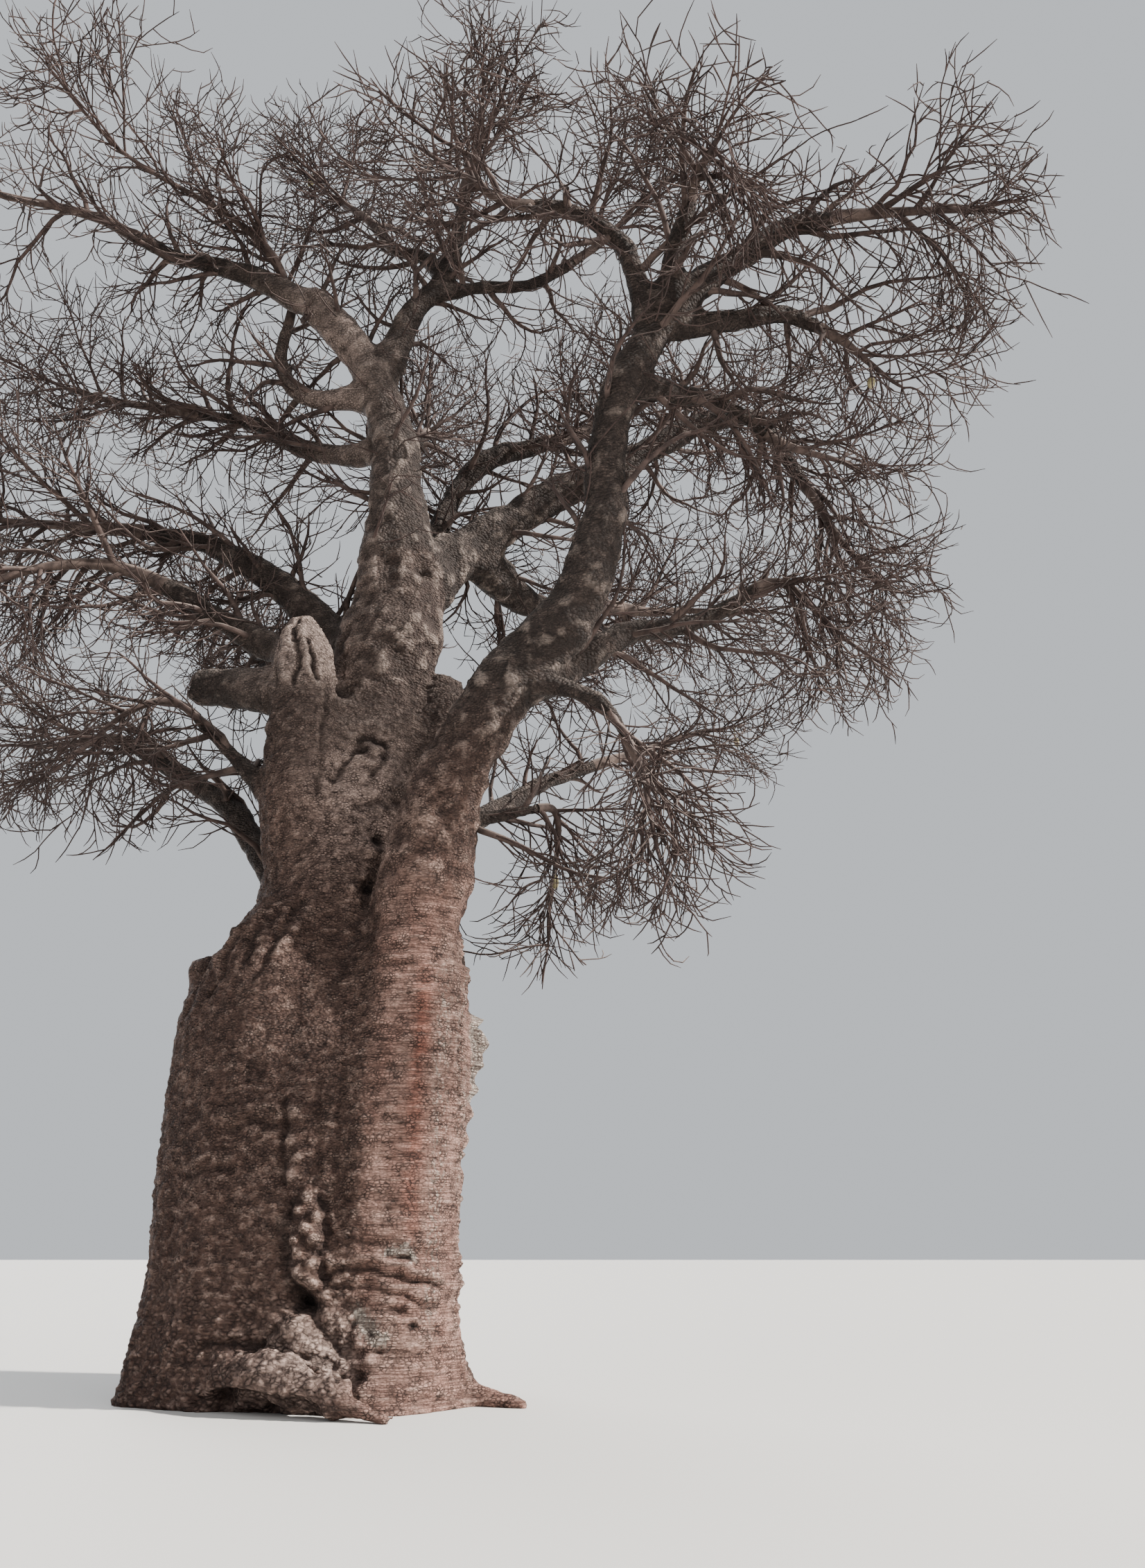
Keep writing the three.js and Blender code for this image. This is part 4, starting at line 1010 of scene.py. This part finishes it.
def kept(paths, radii):
    """Leaves out twigs that end inside a limb or the trunk, or beyond the crown's reach."""
    ends = paths[:, -1]
    middles = paths[:, paths.shape[1] // 2]
    good = np.all((ends > REACH[0]) & (ends < REACH[1]), axis=1) & in_crown(ends)
    good[good] = [SOLID_TREE.find(point)[2] < FURTHEST for point in ends[good]]
    for limb in COARSE.values():
        for points in (ends, middles):
            near = np.flatnonzero(good & boxed(points, limb["path"], NEARBY))
            good[near] = gap_to_limb(points[near], limb) >= TWIG_CLEAR
    good &= gap_to_trunk(ends) > -TRUNK_DEPTH
    return paths[good], radii[good]


def together(groups):
    return [np.concatenate(arrays) for arrays in zip(*groups)]


def twig_levels(name, seed):
    """All twigs of a mass, from its stem to the finest: paths, radii and corners round."""
    rng = np.random.default_rng(seed)
    lift = MASSES[name][3] + FINE_LIFT.get(name, 0)
    fill = DENSER.get(name, 1)
    stem = STEMS[name]["fine"]
    back = stem["path"][0] + unit(stem["path"][0] - stem["path"][1]) * STEM_OVERLAP
    trail = np.vstack([back, stem["path"]])[None], np.concatenate([stem["radii"][:1], stem["radii"]])[None]
    solid = [np.array([twig["fine"][key] for twig in SOLID_TWIGS[name]]) for key in ("path", "radii")]
    carriers = [LIMBS[limb] for limb in (MASSES[name][0], *ALSO_CARRIES.get(name, ()))]
    boughs = [(limb["path"][None], limb["radii"][None]) for limb in carriers]
    branches = [offshoots(*bough, rng, BRANCH_ON_BOUGH, lift, fill) for bough in boughs]
    branches.append(offshoots(*trail, rng, BRANCH_ON_STEM, lift, fill))
    main = together([solid, kept(*together(branches))])
    second = [offshoots(*bough, rng, TWIG_ON_BOUGH, lift) for bough in boughs]
    second.append(offshoots(*trail, rng, TWIG_ON_STEM, lift))
    second.append(offshoots(*main, rng, TWIG_ON_BRANCH, lift))
    second = kept(*together(second))
    third = kept(*offshoots(*second, rng, FINEST, lift))
    return [(*trail, 8), (*main, 5), (*second, 3), (*third, 3)]


def twig_piece(name, seed, material):
    """One mass of twigs, each drawn to half its radius at the tip."""
    points, faces, girth = [], [], []
    base = 0
    for paths, radii, sides in twig_levels(name, seed):
        girth.append(np.repeat(radii.ravel(), sides))
        radii[:, -1] *= 0.5
        made, quads = open_tubes(sway(paths), radii, sides)
        points.append(made)
        faces.append(quads + base)
        base += len(made)
    return new_mesh(name + "_fine", np.concatenate(points), np.concatenate(faces), material,
                    {"girth": np.concatenate(girth)})


# Fruit pods, each on a stalk below a stem: the mass and how far along its stem

PODS = [
    ("twigs_top_fork_left", 0.92),
    ("twigs_low_inner", 0.55),
    ("twigs_back_low_right", 0.9),
    ("twigs_right_side", 0.57),
]
STALK = 0.24
STALK_RADIUS = 0.008
STALK_RINGS = 9
STALK_KNOT = 0.012  # radius where the stalk meets the pod
POD_LENGTH = 0.2
POD_RADIUS = 0.055


def pod_piece(material):
    t = np.linspace(0, 1, 15)
    profile = POD_RADIUS * np.sqrt(np.maximum(1 - (2 * t - 1) ** 2, 0)) * (1.08 - 0.16 * t)
    drop = np.concatenate([np.linspace(-0.02, STALK, STALK_RINGS), STALK + POD_LENGTH * t])
    radii = np.concatenate([np.full(STALK_RINGS, STALK_RADIUS), np.maximum(profile, 0.0015)])
    radii[STALK_RINGS - 1] = STALK_KNOT
    paths = []
    for i, (name, share) in enumerate(PODS):
        place = sway(station(STEMS[name]["fine"], share)[0][None])[0]
        hang = 0.02 * np.sin(drop * 9 + i * 2) * (drop > 0)
        paths.append(place + np.stack([hang, 0.6 * hang, -drop], axis=1))
    points, faces = open_tubes(np.array(paths), np.array([radii] * len(PODS)), 16)
    return new_mesh("pods", points, faces, material)


# Materials

# Where a mix node keeps its two numbers or colours, and where it gives the mixed one
MIX_NUMBERS, MIXED_NUMBER = (2, 3), 0
MIX_COLOURS, MIXED_COLOUR = (6, 7), 2

# Colours used more than once
WORN_AND_LIT = (0.55, 0.40, 0.335)  # bark rubbed and bleached where it stands out, with a painted highlight on those crests
UMBER = (0.03, 0.021, 0.018)


class Nodes:
    """A few helpers that make a material's node tree readable."""

    def __init__(self, name):
        self.material = bpy.data.materials.new(name)
        self.material.use_nodes = True
        self.tree = self.material.node_tree
        self.shader = self.tree.nodes["Principled BSDF"]
        self.place = self.add("ShaderNodeTexCoord", "Object", {})

    def join(self, source, target):
        if isinstance(source, bpy.types.NodeSocket):
            self.tree.links.new(source, target)
        else:
            target.default_value = source

    def add(self, kind, output, inputs, **settings):
        """Adds a node, joins or sets its inputs, and gives the output asked for."""
        node = self.tree.nodes.new(kind)
        for key, value in settings.items():
            setattr(node, key, value)
        for key, value in inputs.items():
            self.join(value, node.inputs[key])
        return node.outputs[output]

    def attribute(self, name):
        return self.add("ShaderNodeAttribute", "Fac", {}, attribute_name=name)

    def stretched(self, scale):
        return self.add("ShaderNodeMapping", "Vector", {"Vector": self.place, "Scale": scale})

    def noise(self, scale, detail, stretch=None, roughness=0.55):
        place = self.stretched(stretch) if stretch else self.place
        inputs = {"Vector": place, "Scale": scale, "Detail": detail, "Roughness": roughness}
        return self.add("ShaderNodeTexNoise", "Fac", inputs)

    def cells(self, scale, feature="F1"):
        """Voronoi cells lower than wide, in rows that waver a little."""
        bend = self.add("ShaderNodeTexNoise", "Color", {"Vector": self.place, "Scale": 2.5})
        low = self.stretched((1, 1, 1.45))
        wavy = self.add("ShaderNodeVectorMath", "Vector", {0: bend, 1: (0.14, 0.14, 0.14), 2: low},
                        operation="MULTIPLY_ADD")
        return self.add("ShaderNodeTexVoronoi", "Distance", {"Vector": wavy, "Scale": scale}, feature=feature)

    def spread(self, value, low, high, to_low=0.0, to_high=1.0):
        """A number carried from the range low to high into another range, and kept within it."""
        inputs = {"Value": value, "From Min": low, "From Max": high, "To Min": to_low, "To Max": to_high}
        return self.add("ShaderNodeMapRange", "Result", inputs, clamp=True)

    def maths(self, kind, a, b):
        return self.add("ShaderNodeMath", "Value", {0: a, 1: b}, operation=kind)

    def times(self, a, b):
        return self.maths("MULTIPLY", a, b)

    def mixed(self, factor, a, b):
        """A number between a and b."""
        return self.add("ShaderNodeMix", MIXED_NUMBER, {0: factor, **dict(zip(MIX_NUMBERS, (a, b)))},
                        data_type="FLOAT")

    def mix(self, factor, a, b):
        """A colour between a and b."""
        a, b = [(*value, 1) if isinstance(value, tuple) else value for value in (a, b)]
        return self.add("ShaderNodeMix", MIXED_COLOUR, {0: factor, **dict(zip(MIX_COLOURS, (a, b)))},
                        data_type="RGBA")

    def layers(self, colour, coats):
        """A colour under several coats, each as strong as its mask."""
        for mask, coat in coats:
            colour = self.mix(mask, colour, coat)
        return colour

    def upness(self):
        normal = self.add("ShaderNodeNewGeometry", "Normal", {})
        return self.add("ShaderNodeSeparateXYZ", "Z", {"Vector": normal})

    def bump(self, height, distance, strength, under=None):
        inputs = {"Strength": strength, "Distance": distance, "Height": height}
        if under is not None:
            inputs["Normal"] = under
        return self.add("ShaderNodeBump", "Normal", inputs)

    def finish(self, colour, roughness, normal):
        inputs = {"Base Color": colour, "Roughness": roughness, "Normal": normal, "Specular IOR Level": 0.25}
        for key, value in inputs.items():
            self.join(value, self.shader.inputs[key])
        return self.material


def bark():
    """Pebbly red-brown on the trunk and mottled grey-brown on the boughs."""
    n = Nodes("bark")
    column, coarse, hue = [n.attribute(name) for name in ("column", "coarse", "hue")]
    grain = n.spread(n.noise(26, 6, roughness=0.7), 0.35, 0.68)
    stout = n.spread(n.maths("ADD", hue, n.times(n.noise(7, 5), 0.4)), 0.45, 0.95)
    # Painted shade in the gaps between the bark's pebbles, broken up by noise
    fine_gap_shade = n.spread(n.cells(21, "DISTANCE_TO_EDGE"), 0.03, 0.3, 1.0, 0.0)
    wide_gap_shade = n.spread(n.cells(13, "DISTANCE_TO_EDGE"), 0.03, 0.32, 1.0, 0.0)
    gap = n.times(n.mixed(coarse, fine_gap_shade, wide_gap_shade), n.spread(n.noise(7, 4), 0.38, 0.6, 0.35, 1.0))
    dome = n.mixed(coarse, n.cells(21), n.cells(13))
    wrinkle = n.mixed(column, n.noise(6.5, 5, (1.0, 1.0, 1.8), 0.6), n.noise(4.2, 5, (1.0, 1.0, 6.5), 0.6))
    # Fine horizontal grooves on the column, also painted darker as shade in them
    lines = n.spread(n.noise(2.6, 4, (1.0, 1.0, 22.0), 0.5), 0.5, 0.4)
    lines = n.times(lines, n.spread(column, 0.1, 0.8))
    colour = n.mix(stout, bough_colour(n, gap, grain), trunk_colour(n, gap, wrinkle, grain, lines))
    ridges = n.times(wrinkle, n.spread(column, 0, 1, 0.6, 1.0))
    normal = n.bump(n.times(dome, n.spread(column, 0, 1, -1.0, -0.4)), 0.09, 1.0)
    normal = n.bump(n.times(ridges, n.spread(hue, 0.1, 0.9, 0.25, 1.0)), 0.15, 0.85, normal)
    normal = n.bump(n.times(lines, -1.0), 0.02, 0.9, normal)
    normal = n.bump(n.noise(70, 6, roughness=0.7), 0.014, 0.8, normal)
    return n.finish(colour, n.spread(grain, 0, 1, 0.72, 0.9), normal)


def trunk_colour(n, gap, wrinkle, grain, lines):
    names = ("column", "relief", "rust", "tan", "pale", "dark")
    column, stands, rust, tan, pale, dark = [n.attribute(name) for name in names]
    broad = n.spread(n.noise(0.8, 3), 0.38, 0.62)
    patch = n.spread(n.noise(4.5, 5), 0.4, 0.66)
    rust = n.times(rust, n.spread(n.noise(3.2, 4, (1, 1, 0.3)), 0.3, 0.6))
    speckle = n.spread(n.noise(19, 5, (1.5, 1.5, 0.8), 0.65), 0.5, 0.6)
    whiter = n.maths("ADD", n.times(pale, speckle), n.spread(pale, 0.9, 1.5, 0.0, 0.7))
    # Painted shade in the troughs of the wrinkles, weaker on the column
    furrow_shade = n.times(n.spread(wrinkle, 0.36, 0.52, 0.6, 0.0), n.mixed(column, 1.0, 0.6))
    return n.layers(n.mix(broad, (0.095, 0.05, 0.038), (0.165, 0.096, 0.075)), [
        (n.times(patch, 0.5), (0.28, 0.18, 0.142)),
        (n.times(grain, 0.4), (0.07, 0.043, 0.035)),
        # lighter pink on the right column: partly its paler bark, partly painted sunlight
        (n.times(column, 0.72), (0.64, 0.41, 0.335)),
        (n.times(rust, 0.78), (0.44, 0.14, 0.09)),
        # pale tan places, partly paler bark and partly painted sunlight
        (n.times(tan, 0.78), (0.62, 0.465, 0.4)),
        # raised bark paler, partly wear and partly a painted highlight
        (n.spread(stands, 0.003, 0.03, 0.0, 0.55), WORN_AND_LIT),
        (n.maths("MINIMUM", whiter, 0.95), (0.72, 0.64, 0.55)),
        # painted shade in the wrinkle troughs
        (furrow_shade, (0.045, 0.025, 0.02)),
        # crests of the wrinkles paler, partly wear and partly a painted highlight
        (n.spread(wrinkle, 0.54, 0.66, 0.0, 0.45), WORN_AND_LIT),
        # painted shade in the column's fine grooves
        (n.times(lines, 0.6), (0.1, 0.05, 0.04)),
        # painted shade in the gaps between pebbles
        (n.times(gap, 0.92), (0.02, 0.011, 0.009)),
        # painted shade where the bark lies lower than its surroundings
        (n.spread(stands, -0.03, 0.008, 0.75, 0.0), (0.032, 0.019, 0.016)),
        (dark, (0.012, 0.008, 0.007)),
    ])


def bough_colour(n, gap, grain):
    mottle = n.spread(n.noise(5.5, 5, roughness=0.6), 0.44, 0.6)
    blotch = n.spread(n.noise(13, 5), 0.5, 0.59)
    stands = n.attribute("relief")
    return n.layers(n.mix(mottle, UMBER, (0.11, 0.08, 0.068)), [
        (n.times(grain, 0.4), (0.07, 0.052, 0.045)),
        (n.times(blotch, 0.75), (0.025, 0.018, 0.016)),
        # painted sunlight on the boughs' upward faces
        (n.spread(n.upness(), 0.1, 0.95, 0.0, 0.4), (0.42, 0.35, 0.31)),
        # pale tan places, partly paler bark and partly painted sunlight
        (n.times(n.attribute("tan"), 0.7), (0.5, 0.38, 0.33)),
        # painted shade in the gaps between the boughs' pebbles
        (n.times(gap, 0.8), (0.02, 0.014, 0.012)),
        # painted highlight on the raised bark of the boughs
        (n.spread(stands, 0.004, 0.018, 0.0, 0.36), (0.46, 0.37, 0.32)),
        # painted shade where the boughs' bark lies lower than around it
        (n.spread(stands, -0.02, 0.006, 0.8, 0.0), UMBER),
    ])


def twig_bark():
    n = Nodes("twig_bark")
    stout = n.spread(n.attribute("girth"), 0.02, 0.08)
    mottle = n.spread(n.noise(5, 4), 0.4, 0.62)
    thin = n.mix(mottle, (0.024, 0.015, 0.014), (0.06, 0.038, 0.034))
    thick = n.mix(mottle, (0.036, 0.025, 0.022), (0.13, 0.094, 0.08))
    colour = n.layers(n.mix(stout, thin, thick), [
        # painted sunlight on the twigs' upward faces
        (n.spread(n.upness(), 0.3, 0.95, 0.0, 0.6), (0.46, 0.37, 0.325)),
        (n.spread(n.noise(60, 4), 0.4, 0.65, 0.0, 0.5), (0.05, 0.037, 0.032)),
    ])
    return n.finish(colour, 0.88, n.bump(n.noise(70, 4), 0.006, 0.8))


def pod_skin():
    n = Nodes("pod_skin")
    colour = n.mix(n.spread(n.noise(30, 4), 0.4, 0.62), (0.19, 0.17, 0.09), (0.33, 0.28, 0.17))
    return n.finish(colour, 0.95, n.bump(n.noise(220, 3), 0.003, 0.8))


# Putting it together

COARSE = grow_limbs(2)
LIMBS = grow_limbs(10)
FUSED_LIMBS = [limb_shape(via, radii, 3) for radii, via in FUSED]
STUMP = limb_shape(FUSED[0][1], FUSED[0][0], 2)
DEAD_STUB = FUSED_LIMBS[2]
STEMS = {name: stem_of(name) for name in MASSES}
SEEDS = {name: 11 + 7 * i for i, name in enumerate(MASSES)}
SOLID_TWIGS = {name: main_twigs(name, seed) for name, seed in SEEDS.items()}
SOLID_POINTS = np.concatenate([
    *[limb["path"] for limb in LIMBS.values()],
    *[stem["fine"]["path"] for stem in STEMS.values()],
    *[twig["fine"]["path"] for twigs in SOLID_TWIGS.values() for twig in twigs],
])
CROWN = crown_reach()
SOLID_TREE = KDTree(len(SOLID_POINTS))
for index, point in enumerate(SOLID_POINTS):
    SOLID_TREE.insert(point, index)
SOLID_TREE.balance()
REACH = (np.array(CAD_BOX[0]) - PAST_BOX, np.array(CAD_BOX[1]) + PAST_BOX)


def strongest(*masks):
    return np.maximum.reduce(masks)


def pale_mask(points, seam):
    """The pale streak on the column, its seam, the dead stub, and the streaks at the foot and knot."""
    x, y, z = points.T
    streak = 0.75 * bell(x - 1.63, 0.08) * smooth(-0.4, -0.9, y) * smooth(5.4, 4.2, z) * smooth(0.2, 1.4, z)
    stub = smooth(0.16, 0.06, np.abs(gap_to_limb(points, DEAD_STUB)))
    stub = 1.4 * stub * smooth(1.7, 1.84, x) * smooth(2.7, 3.2, z)
    small = [2 * bell(gap_to_line(points, places), width) for places, width in (FOOT_STREAK, KNOT_RIM)]
    return strongest(streak, 0.6 * seam * smooth(0.5, 2.6, z), stub, *small)


def tan_and_sunlit_mask(points):
    """Pale tan places, partly paler bark and partly painted sunlight: the foot in front, the broken stump's
    top and the bark below the fork.
    """
    x, y, z = points.T
    foot = bell(np.linalg.norm((points - (0.45, -1.7, 0.45)) * (0.8, 1, 1.2), axis=1), 0.5)
    stump = 1.2 * smooth(8.5, 9.3, z) * bell(np.hypot(x + 0.68, y + 0.66), 0.75)
    fork = 0.9 * bell(np.linalg.norm((points - (0.4, -0.9, 7.4)) * (1, 0.7, 0.7), axis=1), 0.8)
    return strongest(foot, stump, fork)


def dark_mask(points):
    """Shade deep in the hollows, holes and clefts."""
    hollows = [bell(away_from(points, place), radius * 0.9) for place, radius, rise in KNOBS if rise < 0]
    holes = [bell(away_from(points, place), radius * 0.5) * smooth(0.02, 0.08, depth)
             for place, radius, _, depth in RIMS]
    clefts = [0.8 * bell(gap_to_line(points, places), width * 0.8) * smooth(0.02, 0.1, -rise)
              for places, width, rise in CLEFTS]
    return 0.9 * strongest(*hollows, *holes, *clefts)


def bark_masks(points, seam, stout, girth, stands):
    """Where the bark's colours and textures lie: a value at each place for each of them."""
    x, y, z = points.T
    column = column_share(points)
    rust = bell(x - 1.4, 0.15) * smooth(-0.4, -0.9, y) * smooth(5.4, 4.2, z) * smooth(1.3, 2.2, z)
    hue = np.where(z < 5, stout, strongest(stout, smooth(0.3, 0.5, girth)))
    return {
        "rust": strongest(rust, 0.35 * column),
        "pale": pale_mask(points, seam),
        "tan": tan_and_sunlit_mask(points),
        "dark": dark_mask(points),
        "relief": stands,
        "hue": hue * (1 - 0.6 * smooth(5.6, 9.0, z)),
        "column": column,
        "coarse": smooth(2.6, 0.6, z) * (1 - column),
    }


def bark_piece(name, points, quads, stout, material):
    """A piece of bark from squares of the smooth body, stood out by the relief."""
    points, quads, stout = compact(points, quads, stout)
    girth = averaged(girths(points)[0], quads, 6)
    height, seam = relief(points, stout, girth)
    placed = points + point_normals(points, quads) * height[:, None]
    placed[:, 2] = np.maximum(placed[:, 2], 0)
    masks = bark_masks(points, seam, stout, girth, height - averaged(height, quads, 12))
    return new_mesh(name, placed, quads, material, masks)


def eased_joints(points, quads, limb_gap, trunk_gaps):
    """The body with its joints rounded, where limbs leave the trunk and columns meet."""
    z = points[:, 2]
    stubs = np.min([np.abs(gap_to_limb(points, limb)) for limb in FUSED_LIMBS[:3]], axis=0)
    joint = 0.7 * smooth(0.3, 0.05, np.maximum(limb_gap, trunk_gaps)) * (z > 2)
    crease = 0.8 * smooth(0.3, 0.1, trunk_gaps) * smooth(0.8, 1.6, z) * smooth(5.6, 4.4, z)
    ease = averaged(np.maximum(joint, crease) * smooth(0.05, 0.3, stubs), quads, 4)[:, None]
    for _ in range(EASE_ROUNDS):
        points = points + ease * (relaxed(points, quads, [0.6]) - points)
    return points


def bark_pieces():
    """Bark of the trunk in three pieces, and of all the boughs in one."""
    points, quads = remeshed(body_parts(), BARK_CELL)
    points = relaxed(points, quads, [0.5, 0.5, -0.5, 0.5, 0.5, -0.5, 0.5])
    limb_gap, trunk_gaps = girths(points)[1], trunk_gap(points)
    points = eased_joints(points, quads, limb_gap, trunk_gaps)
    stout = averaged((trunk_gaps < limb_gap + TRUNK_LEAD).astype(float), quads, 40)
    settle_marks(points[stout > 0.5])
    height = points[quads].mean(axis=1)[:, 2]
    trunk = stout[quads].mean(axis=1) > 0.5
    under = height < UNDERSIDE
    low = trunk & (height < TRUNK_SPLIT)
    material = bark()
    made = []
    for name, part, fine in (("bark_low", low & ~under, True), ("bark_high", trunk & ~low, True),
                             ("bark_under", under, False), ("bark_boughs", ~trunk & ~under, False)):
        piece = compact(points, quads[part], stout)
        if fine:
            piece = split_quads(*piece)
        made.append(bark_piece(name, *piece, material))
    return made


def build():
    low, high, under, boughs = bark_pieces()
    for piece in (low, high, under, boughs):
        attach(piece, "root")
    for piece in (low, high, under):
        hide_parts("trunk")
    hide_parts(*BOUGHS)
    twig = twig_bark()
    for name, seed in SEEDS.items():
        piece = twig_piece(name, seed, twig)
        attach(piece, "root")
        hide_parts(name)
    pods = pod_piece(pod_skin())
    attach(pods, "root")
    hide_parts(*[name for name, _ in PODS])


# Stage, light and camera

FLOOR_SIZE = 400
FLOOR_COLOUR = (0.6, 0.585, 0.56, 1)
SKY_COLOUR = (0.86, 0.90, 0.95, 1)
SKY_STRENGTH = 0.76

# Lights that come from far off: energy, width in degrees, colour, the way they shine
SUNS = [
    ("sun", 12.0, 2.5, (1.0, 0.96, 0.9), (-0.9, 0.2, -0.6)),
    ("back", 2.6, 35, (0.95, 0.97, 1.0), (0.45, -0.8, -0.4)),
]
FRONT_PLACE = Vector((8, -12, 7))
FRONT_AIM = Vector((0, -0.5, 7.5))


def light(name, kind, energy, colour, heading):
    """A light that shines the way of heading, and what it is made of."""
    data = bpy.data.lights.new(name, kind)
    data.energy = energy
    data.color = colour
    lamp = added(name, data)
    lamp.rotation_euler = heading.to_track_quat("-Z", "Y").to_euler()
    return lamp, data


def stage():
    bpy.ops.mesh.primitive_plane_add(size=FLOOR_SIZE, location=(0, 0, 0))
    floor = bpy.context.object
    floor.name = "floor"
    paint = bpy.data.materials.new("floor")
    paint.use_nodes = True
    paint.node_tree.nodes["Principled BSDF"].inputs["Base Color"].default_value = FLOOR_COLOUR
    paint.node_tree.nodes["Principled BSDF"].inputs["Roughness"].default_value = 0.9
    floor.data.materials.append(paint)
    world = bpy.data.worlds.new("world")
    world.use_nodes = True
    world.node_tree.nodes["Background"].inputs["Color"].default_value = SKY_COLOUR
    world.node_tree.nodes["Background"].inputs["Strength"].default_value = SKY_STRENGTH
    bpy.context.scene.world = world
    for name, energy, width, colour, heading in SUNS:
        _, data = light(name, "SUN", energy, colour, Vector(heading))
        data.angle = math.radians(width)
    lamp, data = light("front", "AREA", 550, (1.0, 0.97, 0.93), FRONT_AIM - FRONT_PLACE)
    data.size = 5
    lamp.location = FRONT_PLACE
    lamp.visible_camera = False


def camera():
    data = bpy.data.cameras.new("camera")
    data.sensor_width = SENSOR
    data.lens = SENSOR * FOCAL_PIXELS / IMAGE_HEIGHT
    data.clip_end = 1000
    pitch = math.atan((HORIZON_ROW - IMAGE_HEIGHT / 2) / FOCAL_PIXELS)
    made = added("camera", data)
    made.location = CAMERA_PLACE
    made.rotation_euler = Euler((math.pi / 2 + pitch, 0, 0))
    bpy.context.scene.camera = made


build()
stage()
camera()
